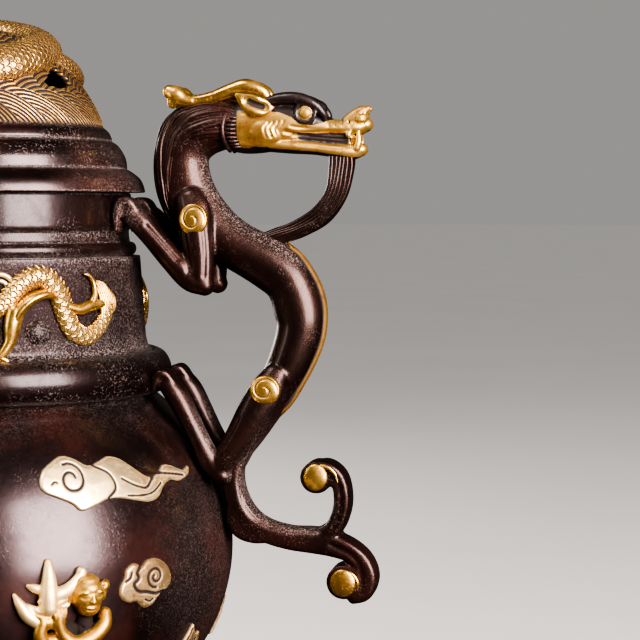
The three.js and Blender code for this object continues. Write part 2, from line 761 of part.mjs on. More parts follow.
// Kneeling tribute bearer holding up a dish of coral
function bearerSolid(hand) {
  const at = (across, up, lift) => {
    const height = bowlCentre - 8 + up;
    const turn = bearerAzimuth + THREE.MathUtils.radToDeg(across / bowlRadiusAt(height));
    return onSurface(bowlRadiusAt, hand * turn, height, lift);
  };
  const limb = (...stations) => swept(
    stations.map(([across, up, lift, depth, width]) => [...at(across, up, lift), depth, width]),
    { sides: 5, steps: stations.length - 1, widthways: radial });
  return unite([
    ovoid(at(3, 2, 3), [8.4, 8.4, 8.8], [7, 5]),
    limb([8, 3, 1, 3, 3], [14, 6, 1, 2.4, 2.4]),
    limb([3, -4, 1, 7, 5], [2, -18, 1, 11, 7], [3, -32, 0, 12, 7], [4, -42, 0, 8, 4]),
    limb([11, -12, 2, 4, 4], [6, -23, 5, 3.6, 4], [-12, -7, 4, 2.8, 3]),
    limb([-4, -11, 2, 4, 4], [-14, -17, 4, 3.4, 3.6], [-17, -5, 4, 2.8, 3]),
    limb([-24, 1, 1, 2, 2.4], [-16, -4, 2, 3.4, 3.4], [-7, -1, 1, 2, 2.4]),
    limb([-15, -4, 1, 2.6, 2.6], [-14, 6, 1, 3, 2.6], [-16, 16, 0, 1.4, 1.4]),
    limb([-14, 3, 1, 2, 2], [-3, 9, 0, 1.4, 1.4]),
  ]).subtract(bowlGrown(gap));
}

function reliefs(place, back) {
  const group = new THREE.Group();
  group.name = `reliefs_${place}`;
  group.rotation.z = back ? Math.PI : 0;
  group.add(piece(`${place}_pearl`, pearlSolid(), 'gilt'));
  for (const [hand, side] of [[1, 'a'], [-1, 'b']]) {
    const name = (part) => `${place}_${part}_${side}`;
    group.add(piece(name('neck_dragon'), neckDragonSolid(hand), 'gilt'));
    group.add(piece(name('long_cloud'), bowlPlate(bigCloud, 53.5, bowlCentre + 42, hand), 'paleGilt'));
    group.add(piece(name('small_cloud'), bowlPlate(smallCloud, 54.5, bowlCentre - 1, hand), 'paleGilt'));
    group.add(piece(name('bearer'), bearerSolid(hand), 'gilt'));
    group.add(piece(name('rocks'), bowlPlate(rocks, 72, bowlCentre - 37, hand), 'gilt'));
  }
  return group;
}

const group = new THREE.Group();
group.name = 'incense_burner';

const holes = [...pinHoles(1), ...pinHoles(-1)];

group.add(piece('foot', footSolid(), 'bronze'));
group.add(piece('bowl', bowlSolid(), 'bronze'));
group.add(piece('neck', holes.reduce((rest, hole) => rest.subtract(hole), neckSolid()), 'bronze'));
group.add(piece('ash_liner', linerSolid(), 'copper'));

const lid = new THREE.Group();
lid.name = 'lid';
lid.add(piece('lid_rim', lidRimSolid(), 'bronze'));
lid.add(piece('lid_dome', domeSolid(), 'gilt'));
lid.add(piece('lid_dragon', lidDragonSolid(), 'gilt'));
group.add(lid);

const rightHandle = handle('right');
const leftHandle = handle('left');
leftHandle.rotation.z = Math.PI;
group.add(rightHandle, leftHandle);

group.add(reliefs('front', false), reliefs('back', true));

export default group;
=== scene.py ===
import math
import bpy
import bmesh
import numpy as np
from mathutils import Matrix, Vector


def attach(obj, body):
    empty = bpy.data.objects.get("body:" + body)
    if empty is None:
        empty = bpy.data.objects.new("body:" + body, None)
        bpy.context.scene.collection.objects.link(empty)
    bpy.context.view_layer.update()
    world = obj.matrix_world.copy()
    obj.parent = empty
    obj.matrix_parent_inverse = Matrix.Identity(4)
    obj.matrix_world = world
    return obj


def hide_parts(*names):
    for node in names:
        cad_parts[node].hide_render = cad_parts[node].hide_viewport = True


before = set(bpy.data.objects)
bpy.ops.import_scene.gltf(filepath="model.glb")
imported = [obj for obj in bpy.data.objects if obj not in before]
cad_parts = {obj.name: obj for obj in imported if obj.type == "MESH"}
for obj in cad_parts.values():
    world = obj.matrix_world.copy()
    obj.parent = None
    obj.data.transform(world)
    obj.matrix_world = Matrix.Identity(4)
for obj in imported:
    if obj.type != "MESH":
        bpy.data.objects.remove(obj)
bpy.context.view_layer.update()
mm = 0.001  # every length below is in millimetres up to addPiece
turnBack = Matrix.Rotation(math.pi, 4, "Z")
flipSide = Matrix.Scale(-1, 4, (0, 1, 0))
flipHand = Matrix.Scale(-1, 4, (1, 0, 0))


def smoothRows(rows, count):
    # rows of numbers on a smooth curve through the given ones
    rows = np.array(rows, float)
    ends = np.vstack([2 * rows[0] - rows[1], rows, 2 * rows[-1] - rows[-2]])
    at = np.linspace(0, len(rows) - 1 - 1e-9, count)
    i = at.astype(int)
    f = (at - i)[:, None]
    a, b, c, d = ends[i], ends[i + 1], ends[i + 2], ends[i + 3]
    return 0.5 * (2 * b + (c - a) * f + (2 * a - 5 * b + 4 * c - d) * f ** 2
                  + (3 * b - 3 * c + d - a) * f ** 3)


def smoothLoop(points, count):
    points = np.array(points, float)
    wrapped = np.vstack([points[-2:], points, points[:3]])
    rows = smoothRows(wrapped, (len(wrapped) - 1) * count // len(points) + 1)
    step = count / len(points)
    first = int(round(2 * step))
    return rows[first:first + count]


def unit(vectors):
    return vectors / np.maximum(np.linalg.norm(vectors, axis=-1, keepdims=True), 1e-9)


def radialWay(centres):
    flat = centres.copy()
    flat[:, 2] = 0
    return unit(flat)


def sweep(bm, rows, count=40, sides=16, wide=(0, 1, 0), corner=1.0, ripple=None):
    # a tube through rows of x, y, z, half depth, half width, with round ends
    rows = smoothRows(rows, count)
    rows[:, 3:5] = np.maximum(rows[:, 3:5], 0.05)
    centre, half = rows[:, :3], rows[:, 3:5]
    tangent = unit(np.gradient(centre, axis=0))
    for end, sign in ((0, -1), (-1, 1)):
        reach = sign * half[end].min()
        extra = [(reach * math.sin(a), math.cos(a)) for a in (0.4, 0.8, 1.15, math.pi / 2)]
        extraCentre = [centre[end] + tangent[end] * push for push, _ in extra]
        extraHalf = [half[end] * keep for _, keep in extra]
        extraTangent = [tangent[end]] * 4
        if end == 0:
            centre = np.vstack([extraCentre[::-1], centre])
            half = np.vstack([extraHalf[::-1], half])
            tangent = np.vstack([extraTangent, tangent])
        else:
            centre = np.vstack([centre, extraCentre])
            half = np.vstack([half, extraHalf])
            tangent = np.vstack([tangent, extraTangent])
    wideWay = wide(centre) if callable(wide) else np.tile(np.array(wide, float), (len(centre), 1))
    wideWay = unit(wideWay - tangent * (wideWay * tangent).sum(axis=1)[:, None])
    deepWay = np.cross(tangent, wideWay)
    along = np.concatenate([[0], np.cumsum(np.linalg.norm(np.diff(centre, axis=0), axis=1))])
    layers = bm.verts.layers.float
    for label in ("along", "around"):
        if label not in layers:
            layers.new(label)
    alongLayer, aroundLayer = layers["along"], layers["around"]
    made = bmesh.ops.create_grid(bm, x_segments=sides, y_segments=len(centre) - 1, size=1)["verts"]
    girth = half.mean() * math.pi
    for vert in made:
        share = (vert.co.x + 1) / 2
        row = int(round((vert.co.y + 1) / 2 * (len(centre) - 1)))
        turn = -math.pi / 2 + 2 * math.pi * share
        deep, out = math.cos(turn), math.sin(turn)
        deep = math.copysign(abs(deep) ** corner, deep)
        out = math.copysign(abs(out) ** corner, out)
        if ripple:
            swell = 1 + ripple[1] * math.cos(ripple[0] * turn)
            deep, out = deep * swell, out * swell
        spot = centre[row] + deepWay[row] * half[row, 0] * deep
        vert.co = spot + wideWay[row] * half[row, 1] * out
        vert[alongLayer] = along[row]
        vert[aroundLayer] = (share - 0.5) * 2 * girth
    bmesh.ops.remove_doubles(bm, verts=made, dist=0.004)


def ball(bm, centre, radii, turn=0, segments=24):
    place = Matrix.Translation(centre) @ Matrix.Rotation(turn, 4, "Y")
    place = place @ Matrix.Diagonal((*radii, 1))
    bmesh.ops.create_uvsphere(bm, u_segments=segments, v_segments=segments // 2 + 2, radius=1,
                              matrix=place)


def spun(bm, outline, turns=128):
    # outline of radius, height pairs turned round the vertical axis
    verts = [bm.verts.new((radius, 0, height)) for radius, height in outline]
    edges = [bm.edges.new(pair) for pair in zip(verts[:-1], verts[1:])]
    bmesh.ops.spin(bm, geom=verts + edges, cent=(0, 0, 0), axis=(0, 0, 1), dvec=(0, 0, 0),
                   angle=2 * math.pi, steps=turns, use_merge=True)
    bmesh.ops.remove_doubles(bm, verts=bm.verts[:], dist=0.01)
    bmesh.ops.recalc_face_normals(bm, faces=bm.faces[:])


def rounded(points, radius):
    # an outline with each inner corner cut to a small curve
    points = [Vector(point) for point in points]
    result = [points[0]]
    for before, here, after in zip(points[:-2], points[1:-1], points[2:]):
        back, on = before - here, after - here
        cut = min(radius, back.length * 0.45, on.length * 0.45)
        start, stop = here + back.normalized() * cut, here + on.normalized() * cut
        for i in range(4):
            t = i / 3
            result.append(start * (1 - t) ** 2 + here * 2 * t * (1 - t) + stop * t ** 2)
    result.append(points[-1])
    return [tuple(point) for point in result]


def halfRound(base, foot, top, radius):
    # moulding between two heights that stands out to radius
    middle, halfHeight = (foot + top) / 2, (top - foot) / 2
    points = []
    for i in range(11):
        angle = math.radians(-90 + 180 * i / 10)
        points.append((base + (radius - base) * math.cos(angle),
                       middle + halfHeight * math.sin(angle)))
    return points


def toMesh(name, bm):
    mesh = bpy.data.meshes.new(name)
    bm.to_mesh(mesh)
    bm.free()
    return mesh


def readCoords(mesh):
    coords = np.empty(len(mesh.vertices) * 3)
    mesh.vertices.foreach_get("co", coords)
    return coords.reshape(-1, 3)


def readNormals(mesh):
    normals = np.empty(len(mesh.vertices) * 3)
    mesh.vertex_normals.foreach_get("vector", normals)
    return normals.reshape(-1, 3)


def writeCoords(mesh, coords):
    mesh.vertices.foreach_set("co", coords.ravel())
    mesh.update()


def setValues(mesh, name, values):
    layer = mesh.attributes.get(name) or mesh.attributes.new(name, "FLOAT", "POINT")
    layer.data.foreach_set("value", np.asarray(values, dtype=np.float32))


def getValues(mesh, name):
    values = np.zeros(len(mesh.vertices), dtype=np.float32)
    mesh.attributes[name].data.foreach_get("value", values)
    return values


def fuse(name, bm, voxel, relax):
    # joins the overlapping forms in one skin
    rough = toMesh(name + "_rough", bm)
    worker = bpy.data.objects.new(name + "_rough", rough)
    bpy.context.scene.collection.objects.link(worker)
    joined = worker.modifiers.new("joined", "REMESH")
    joined.mode = "VOXEL"
    joined.voxel_size = voxel
    relaxed = worker.modifiers.new("relaxed", "SMOOTH")
    relaxed.factor = 0.5
    relaxed.iterations = relax
    ready = worker.evaluated_get(bpy.context.evaluated_depsgraph_get())
    mesh = bpy.data.meshes.new_from_object(ready)
    bpy.data.objects.remove(worker)
    bpy.data.meshes.remove(rough)
    mesh.materials.clear()
    return mesh


def nearPath(points, path):
    # distance of each point from the nearest segment of a path
    path = np.array(path, float)
    best = np.full(len(points), 1e9)
    for a, b in zip(path[:-1], path[1:]):
        ab = b - a
        t = np.clip(((points - a) @ ab) / max(ab @ ab, 1e-9), 0, 1)
        best = np.minimum(best, np.linalg.norm(points - a - t[:, None] * ab, axis=1))
    return best


def carve(mesh, path, width, depth, bothSides=True):
    # presses a groove along a path into the skin
    coords, normals = readCoords(mesh), readNormals(mesh)
    path = smoothRows(path, 6 * len(path)) if len(path) > 2 else np.array(path, float)
    near = nearPath(coords, path)
    if bothSides:
        near = np.minimum(near, nearPath(coords, path * [1, -1, 1]))
    press = np.exp(-(near / width) ** 2)
    writeCoords(mesh, coords - normals * (depth * press)[:, None])
    return press


def averaged(mesh, values, rounds):
    # values smoothed over the mesh's edges
    edges = np.empty(len(mesh.edges) * 2, dtype=np.int32)
    mesh.edges.foreach_get("vertices", edges)
    edges = edges.reshape(-1, 2)
    count = len(mesh.vertices)
    links = np.maximum(np.bincount(edges.ravel(), minlength=count), 1)
    values = values.astype(float)
    for _ in range(rounds):
        total = np.bincount(edges[:, 0], values[edges[:, 1]], count) + np.bincount(
            edges[:, 1], values[edges[:, 0]], count)
        values = 0.5 * values + 0.5 * total / links
    return values


def markHollows(mesh, rounds, reach):
    # crease: how deep each point lies below its smoothed surroundings, as a share of reach
    coords, normals = readCoords(mesh), readNormals(mesh)
    soft = np.stack([averaged(mesh, coords[:, axis], rounds) for axis in range(3)], axis=1)
    depth = ((soft - coords) * normals).sum(axis=1)
    setValues(mesh, "crease", np.clip(depth / reach, -1, 1))


def ramp(values, low, high):
    return np.clip((values - low) / (high - low), 0, 1)


def addPiece(name, mesh, material, body, nodes):
    mesh.transform(Matrix.Scale(mm, 4))
    mesh.name = name
    mesh.materials.clear()
    mesh.materials.append(material)
    for face in mesh.polygons:
        face.use_smooth = True
    obj = bpy.data.objects.new(name, mesh)
    bpy.context.scene.collection.objects.link(obj)
    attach(obj, body)
    if nodes:
        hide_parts(*nodes)


def mirrored(mesh, matrix):
    # another copy of a mesh, its faces turned outward again where the matrix mirrors it
    copy = mesh.copy()
    copy.transform(matrix)
    if matrix.determinant() < 0:
        copy.flip_normals()
    return copy


def addNode(tree, kind, inputs=None, **settings):
    node = tree.nodes.new(kind)
    for key, value in settings.items():
        setattr(node, key, value)
    for key, value in (inputs or {}).items():
        if isinstance(value, bpy.types.NodeSocket):
            tree.links.new(value, node.inputs[key])
        else:
            node.inputs[key].default_value = value
    return node


def calc(tree, operation, first, second=0.0, third=0.0):
    return addNode(tree, "ShaderNodeMath", {0: first, 1: second, 2: third},
                   operation=operation).outputs[0]


def spread(tree, value, low, high):
    return addNode(tree, "ShaderNodeMapRange", {"Value": value, "From Min": low, "From Max": high},
                   interpolation_type="SMOOTHSTEP").outputs[0]


def blendColour(tree, share, first, second):
    node = addNode(tree, "ShaderNodeMix", data_type="RGBA")
    for index, value in ((0, share), (6, first), (7, second)):
        if isinstance(value, bpy.types.NodeSocket):
            tree.links.new(value, node.inputs[index])
        else:
            node.inputs[index].default_value = value
    return node.outputs[2]


def noise(tree, vector, scale, detail=4.0, roughness=0.55):
    given = {"Vector": vector, "Scale": scale, "Detail": detail, "Roughness": roughness}
    return addNode(tree, "ShaderNodeTexNoise", given).outputs["Fac"]


def newGroup(name, inputs, outputs):
    tree = bpy.data.node_groups.new(name, "ShaderNodeTree")
    for label, kind in inputs:
        tree.interface.new_socket(label, in_out="INPUT", socket_type="NodeSocket" + kind)
    for label, kind in outputs:
        tree.interface.new_socket(label, in_out="OUTPUT", socket_type="NodeSocket" + kind)
    return tree, tree.nodes.new("NodeGroupInput").outputs, tree.nodes.new("NodeGroupOutput").inputs


def useGroup(tree, group, inputs):
    node = tree.nodes.new("ShaderNodeGroup")
    node.node_tree = group
    for key, value in inputs.items():
        if isinstance(value, bpy.types.NodeSocket):
            tree.links.new(value, node.inputs[key])
        else:
            node.inputs[key].default_value = value
    return node.outputs


def agedGroup():
    # cloudy patina, sandy specks and the fine pitting that all the old metal shares
    tree, given, made = newGroup("aged metal", [("Place", "Vector")],
                                 [("Clouds", "Float"), ("Stains", "Float"), ("Specks", "Float"),
                                  ("Grain", "Float"), ("Pitting", "Float")])
    place = given["Place"]
    patches = spread(tree, noise(tree, place, 55.0, 3.0), 0.46, 0.62)
    specks = spread(tree, noise(tree, place, 1000.0, 2.0), 0.56, 0.68)
    tree.links.new(spread(tree, noise(tree, place, 19.0, 5.0, 0.6), 0.42, 0.66), made["Clouds"])
    tree.links.new(spread(tree, noise(tree, place, 120.0, 5.0, 0.65), 0.5, 0.66), made["Stains"])
    tree.links.new(calc(tree, "MULTIPLY", specks, patches), made["Specks"])
    tree.links.new(spread(tree, noise(tree, place, 1300.0, 3.0, 0.6), 0.46, 0.66), made["Grain"])
    tree.links.new(noise(tree, place, 320.0, 6.0, 0.62), made["Pitting"])
    return tree


def scaleGroup():
    # staggered round scales from the length and girth of a body, in scale lengths
    tree, given, made = newGroup("round scales", [("Along", "Float"), ("Around", "Float")],
                                 [("Height", "Float"), ("Gap", "Float")])
    along, around = given["Along"], given["Around"]
    row = calc(tree, "FLOOR", along)
    part = calc(tree, "FRACT", along)
    shift = calc(tree, "MULTIPLY", calc(tree, "FLOORED_MODULO", row, 2.0), 0.5)
    turned = calc(tree, "FRACT", calc(tree, "ADD", around, shift))
    across = calc(tree, "ABSOLUTE", calc(tree, "MULTIPLY_ADD", turned, 2.0, -1.0))
    other = calc(tree, "SUBTRACT", 1.0, across)
    arch = calc(tree, "SQRT", calc(tree, "MAXIMUM", calc(tree, "SUBTRACT", 1.0,
                calc(tree, "MULTIPLY", across, across)), 0.0))
    otherArch = calc(tree, "SQRT", calc(tree, "MAXIMUM", calc(tree, "SUBTRACT", 1.0,
                     calc(tree, "MULTIPLY", other, other)), 0.0))
    own = calc(tree, "SUBTRACT", arch, part)
    inOwn = calc(tree, "GREATER_THAN", own, 0.0)
    nextTip = calc(tree, "ADD", calc(tree, "SUBTRACT", otherArch, part), 1.0)
    tip = addNode(tree, "ShaderNodeMix", {0: inOwn, 2: nextTip, 3: own}).outputs[0]
    rim = calc(tree, "SUBTRACT", 1.0, calc(tree, "MULTIPLY", tip, 0.42))
    ridge = calc(tree, "MULTIPLY", calc(tree, "COSINE", calc(tree, "MULTIPLY", tip, 15.0)), 0.1)
    under = calc(tree, "MULTIPLY", calc(tree, "SUBTRACT", 1.0, inOwn),
                 calc(tree, "SUBTRACT", 1.0,
                      spread(tree, calc(tree, "MULTIPLY", own, -1.0), 0.0, 0.3)))
    edge = calc(tree, "SUBTRACT", 1.0, spread(tree, tip, 0.08, 0.32))
    gap = calc(tree, "MAXIMUM", under, edge)
    height = calc(tree, "SUBTRACT", calc(tree, "ADD", rim, ridge),
                  calc(tree, "MULTIPLY", gap, 0.75))
    tree.links.new(height, made["Height"])
    tree.links.new(gap, made["Gap"])
    return tree


wave = {"fan": 1.36, "lines": 41.0, "sink": 0.12}  # in fan widths, lines in radians per fan width


def waveGroup():
    # fans of ridges that stand for the sea: each fan is drawn over the next one round the dome
    tree, given, made = newGroup("sea waves", [("Along", "Float"), ("Around", "Float")],
                                 [("Height", "Float"), ("Gap", "Float")])
    part = calc(tree, "FRACT", given["Around"])
    rise = calc(tree, "ADD", given["Along"], wave["sink"])
    square = calc(tree, "MULTIPLY", rise, rise)
    reaches = []
    for shift in (1.0, 0.0, -1.0):
        away = calc(tree, "ADD", part, shift)
        reaches.append(calc(tree, "SQRT", calc(tree, "MULTIPLY_ADD", away, away, square)))
    before, own, after = reaches
    inBefore = calc(tree, "LESS_THAN", before, wave["fan"])
    inOwn = calc(tree, "LESS_THAN", own, wave["fan"])
    reach = addNode(tree, "ShaderNodeMix", {0: inOwn, 2: after, 3: own}).outputs[0]
    reach = addNode(tree, "ShaderNodeMix", {0: inBefore, 2: reach, 3: before}).outputs[0]
    swing = calc(tree, "COSINE", calc(tree, "MULTIPLY", reach, wave["lines"]))
    ridges = calc(tree, "MULTIPLY_ADD", swing, 0.5, 0.5)
    tree.links.new(ridges, made["Height"])
    tree.links.new(calc(tree, "SUBTRACT", 1.0, spread(tree, ridges, 0.4, 0.95)), made["Gap"])
    return tree


def scaleRelief(along, around):
    # the scales of the node group as heights, to press into a mesh
    row = np.floor(along)
    part = along - row
    across = np.abs((around + 0.5 * (row % 2)) % 1 * 2 - 1)
    own = np.sqrt(np.maximum(1 - across ** 2, 0)) - part
    other = np.sqrt(np.maximum(1 - (1 - across) ** 2, 0)) - part + 1
    tip = np.where(own > 0, own, other)
    gap = np.maximum((own <= 0) * ramp(own, -0.3, 0), ramp(-tip, -0.32, -0.08))
    return 0.5 - 0.42 * tip - 0.5 * gap


def waveRelief(along, around):
    # the waves of the node group as heights
    part, rise = around % 1, along + wave["sink"]
    before, own, after = (np.hypot(part + shift, rise) for shift in (1, 0, -1))
    reach = np.where(before < wave["fan"], before, np.where(own < wave["fan"], own, after))
    return 0.5 * np.cos(wave["lines"] * reach)


def emboss(mesh, relief, depth):
    writeCoords(mesh, readCoords(mesh) + readNormals(mesh) * (depth * relief)[:, None])


def embossScales(mesh, pattern):
    along, around = (getValues(mesh, key) / pattern[key] for key in ("along", "around"))
    emboss(mesh, scaleRelief(along, around), pattern["relief"])


def newMaterial(name):
    material = bpy.data.materials.new(name)
    material.use_nodes = True
    tree = material.node_tree
    tree.nodes.clear()
    place = addNode(tree, "ShaderNodeTexCoord").outputs["Object"]
    return material, tree, place


def attribute(tree, name):
    return addNode(tree, "ShaderNodeAttribute", attribute_name=name).outputs["Fac"]


def finishMaterial(tree, height, strength, distance, inputs):
    bump = addNode(tree, "ShaderNodeBump",
                   {"Height": height, "Strength": strength, "Distance": distance})
    shader = addNode(tree, "ShaderNodeBsdfPrincipled", {"Normal": bump.outputs[0], **inputs})
    addNode(tree, "ShaderNodeOutputMaterial", {"Surface": shader.outputs[0]})


aged = agedGroup()
scales = scaleGroup()
waves = waveGroup()
# steps along and around in millimetres, and how far the pattern is pressed into the mesh
dragonPattern = {"group": scales, "along": 2.0, "around": 2.9, "relief": 0.4}
coilPattern = {"group": scales, "along": 2.0, "around": 2.8, "relief": 0.45}
domePattern = {"group": waves, "along": 13.0, "around": 13.0, "relief": 0.5}


def bronzeColours(tree, age, dust, look):
    # dark waxed bronze: colour and roughness from clouds of patina, specks and pale grains of dust
    base = blendColour(tree, age["Clouds"], look["dark"], look["warm"])
    base = blendColour(tree, calc(tree, "MULTIPLY", age["Specks"], look["specks"]), base,
                       look["dust"])
    grains = calc(tree, "MULTIPLY", age["Grain"],
                  calc(tree, "MULTIPLY_ADD", age["Pitting"], 1.6, -0.1))
    cover = calc(tree, "MULTIPLY", dust,
                 calc(tree, "MULTIPLY_ADD", grains, look["grain"], look["haze"]))
    cover = calc(tree, "MINIMUM", cover, 0.8)
    return blendColour(tree, cover, base, look["dust"]), cover


def darkBronze(name, look):
    material, tree, place = newMaterial(name)
    age = useGroup(tree, aged, {"Place": place})
    crease = spread(tree, attribute(tree, "crease"), look["creaseFrom"], look["creaseTo"])
    dust = calc(tree, "MAXIMUM", crease, attribute(tree, "dust"))
    colour, cover = bronzeColours(tree, age, dust, look)
    matte = attribute(tree, "matte")
    rough = calc(tree, "MULTIPLY_ADD", age["Pitting"], 0.16, look["rough"] - 0.08)
    dull = calc(tree, "MAXIMUM", cover, calc(tree, "MULTIPLY", matte, 0.6))
    rough = calc(tree, "MULTIPLY_ADD", dull, 0.42, rough)
    gloss = calc(tree, "SUBTRACT", 1.0, calc(tree, "MAXIMUM", cover, matte))
    wax = calc(tree, "MULTIPLY_ADD", age["Stains"], -0.4, 1.0)
    coat = calc(tree, "MULTIPLY", calc(tree, "MULTIPLY", gloss, wax), look["coat"])
    metal = calc(tree, "MULTIPLY", calc(tree, "SUBTRACT", 1.0, cover), look["metal"])
    finishMaterial(tree, calc(tree, "MULTIPLY_ADD", age["Specks"], 0.6, age["Pitting"]),
                   look["bump"], 0.0004,
                   {"Base Color": colour, "Roughness": rough, "Metallic": metal,
                    "Coat Weight": coat, "Coat Roughness": look["coatRough"],
                    "Specular IOR Level": look["specular"], "Specular Tint": look["tint"]})
    return material


def gildColours(tree, age, gap, look):
    patches = calc(tree, "MULTIPLY_ADD", age["Stains"], 0.6,
                   calc(tree, "MULTIPLY", age["Clouds"], 0.55))
    warm = blendColour(tree, patches, look["bright"], look["deep"])
    worn = calc(tree, "MULTIPLY", calc(tree, "MAXIMUM", age["Specks"], age["Stains"]), look["worn"])
    # stains, hollows, inked grooves and the painted shade of the head all pull the gilding towards
    # the recess colour
    stainAndShade = calc(tree, "MAXIMUM", gap, worn)
    return blendColour(tree, stainAndShade, warm, look["recess"]), stainAndShade


bronzeLook = {"dark": (0.004, 0.0020, 0.0017, 1), "warm": (0.022, 0.0060, 0.0042, 1),
              "dust": (0.20, 0.166, 0.152, 1), "specks": 0.14, "creaseFrom": 0.15, "creaseTo": 0.95,
              "rough": 0.30, "coat": 0.36, "coatRough": 0.19, "specular": 0.45,
              "tint": (1.0, 0.76, 0.76, 1), "metal": 0.12, "bump": 0.22, "grain": 1.5, "haze": 0.08}
handleLook = {**bronzeLook, "warm": (0.015, 0.0054, 0.0042, 1), "specks": 0.12, "rough": 0.38,
              "coat": 0.24, "coatRough": 0.15, "specular": 0.46, "tint": (1.0, 0.62, 0.52, 1),
              "bump": 0.42, "grain": 1.7, "haze": 0.07}
goldLook = {"bright": (0.74, 0.475, 0.13, 1), "deep": (0.36, 0.18, 0.042, 1),
            "recess": (0.010, 0.0045, 0.0025, 1), "worn": 0.3, "rough": 0.29, "bump": 0.4}
paleLook = {**goldLook, "bright": (1.0, 0.80, 0.43, 1), "deep": (0.88, 0.58, 0.24, 1),
            "rough": 0.32, "worn": 0.2}
dullLook = {**goldLook, "bright": (0.72, 0.51, 0.25, 1), "deep": (0.36, 0.22, 0.09, 1),
            "rough": 0.36, "worn": 0.5}
lidGoldLook = {**goldLook, "bright": (0.62, 0.385, 0.13, 1), "deep": (0.17, 0.075, 0.022, 1),
               "rough": 0.3, "worn": 0.42}


def gilding(name, look, pattern=None):
    material, tree, place = newMaterial(name)
    age = useGroup(tree, aged, {"Place": place})
    gap = spread(tree, attribute(tree, "crease"), 0.25, 0.8)
    gap = calc(tree, "MAXIMUM", gap, attribute(tree, "ink_and_shade"))
    height = calc(tree, "MULTIPLY", age["Pitting"], 0.25)
    if pattern:
        made = useGroup(tree, pattern["group"], {
            "Along": calc(tree, "DIVIDE", attribute(tree, "along"), pattern["along"]),
            "Around": calc(tree, "DIVIDE", attribute(tree, "around"), pattern["around"])})
        gap = calc(tree, "MAXIMUM", gap, made["Gap"])
        height = calc(tree, "ADD", height, made["Height"])
    colour, stainAndShade = gildColours(tree, age, gap, look)
    rough = calc(tree, "MULTIPLY_ADD", age["Pitting"], 0.2, look["rough"] - 0.1)
    rough = calc(tree, "MULTIPLY_ADD", stainAndShade, 0.45, rough)
    metal = calc(tree, "MULTIPLY_ADD", stainAndShade, -0.85, 0.95)
    strength, distance = (0.5, 0.0006) if pattern else (look["bump"], 0.0003)
    finishMaterial(tree, height, strength, distance,
                   {"Base Color": colour, "Roughness": rough, "Metallic": metal})
    return material


def paintedHead(name):
    # gilding over dark bronze where the gilt value of the skin says so
    material, tree, place = newMaterial(name)
    age = useGroup(tree, aged, {"Place": place})
    gilt = calc(tree, "ADD", attribute(tree, "gilt"),
                calc(tree, "MULTIPLY_ADD", age["Pitting"], 0.3, -0.15))
    gilt = spread(tree, gilt, 0.4, 0.6)
    # the head's painted shade comes in here with its inked grooves
    gap = calc(tree, "MAXIMUM", spread(tree, attribute(tree, "crease"), 0.2, 0.75),
               attribute(tree, "ink_and_shade"))
    gold, stainAndShade = gildColours(tree, age, gap, {**goldLook, "worn": 0.42})
    dust = spread(tree, attribute(tree, "crease"), 0.3, 1.0)
    dark = bronzeColours(tree, age, dust, handleLook)[0]
    colour = blendColour(tree, gilt, dark, gold)
    rough = calc(tree, "MULTIPLY_ADD", age["Pitting"], 0.2, 0.24)
    rough = calc(tree, "MULTIPLY_ADD", stainAndShade, 0.32, rough)
    bare = calc(tree, "MULTIPLY", gilt, calc(tree, "MULTIPLY_ADD", stainAndShade, -0.5, 0.9))
    metal = calc(tree, "MAXIMUM", bare, 0.15)
    waxed = calc(tree, "MULTIPLY", calc(tree, "SUBTRACT", 1.0, gilt),
                 calc(tree, "SUBTRACT", 1.0, stainAndShade))
    coat = calc(tree, "MULTIPLY", waxed, 0.5)
    finishMaterial(tree, age["Pitting"], 0.22, 0.0003,
                   {"Base Color": colour, "Roughness": rough, "Metallic": metal,
                    "Coat Weight": coat, "Coat Roughness": 0.1})
    return material


bronzeSkin = darkBronze("waxed bronze", bronzeLook)
handleSkin = darkBronze("waxed bronze of the handles", handleLook)
neckLook = {**bronzeLook, "specks": 0.42, "bump": 0.5, "rough": 0.34,
            "warm": (0.010, 0.0044, 0.0036, 1), "coat": 0.4, "specular": 0.2, "metal": 0.05,
            "grain": 1.7, "haze": 0.02, "dust": (0.17, 0.148, 0.138, 1)}
neckSkin = darkBronze("sandy bronze of the neck", neckLook)
ringSkin = darkBronze("specked bronze of the lid", {**bronzeLook, "specks": 0.5})
goldSkin = gilding("rubbed gilding", goldLook)
softLook = {**goldLook, "bright": (0.56, 0.34, 0.08, 1), "deep": (0.34, 0.18, 0.04, 1),
            "rough": 0.46, "worn": 0.25, "bump": 0.15}
softSkin = gilding("soft gilding of the bearer", softLook)
paleSkin = gilding("pale gilding", paleLook)
coralSkin = gilding("pale matt gilding", {**paleLook, "rough": 0.5, "bump": 0.2})
dullSkin = gilding("dull gilding", dullLook)
scaleLook = {**goldLook, "bright": (0.90, 0.62, 0.21, 1), "deep": (0.50, 0.28, 0.075, 1)}
scaleSkin = gilding("gilt scales", scaleLook, dragonPattern)
coilSkin = gilding("brown gilt scales", lidGoldLook, coilPattern)
waveSkin = gilding("brown gilt waves", lidGoldLook, domePattern)
headSkin = paintedHead("dragon head")
copperLook = {**goldLook, "bright": (0.44, 0.17, 0.085, 1), "deep": (0.22, 0.075, 0.04, 1),
              "rough": 0.5}
copperSkin = gilding("dull copper", copperLook)
print("materials ready")

# vessel: foot, bowl and neck
bowl = {"radius": 119.4, "halfHeight": 102.5, "centre": 145, "wall": 4.5, "mouth": 80}


def bowlRadius(height):
    share = (height - bowl["centre"]) / bowl["halfHeight"]
    return bowl["radius"] * np.sqrt(np.maximum(1 - share ** 2, 0))


def bowlArc(offset, rows):
    end = math.acos(bowl["mouth"] / bowl["radius"])
    points = []
    for i in range(rows + 1):
        angle = -math.pi / 2 + (end + math.pi / 2) * i / rows
        points.append(((bowl["radius"] + offset) * max(math.cos(angle), 0),
                       bowl["centre"] + (bowl["halfHeight"] + offset) * math.sin(angle)))
    return points


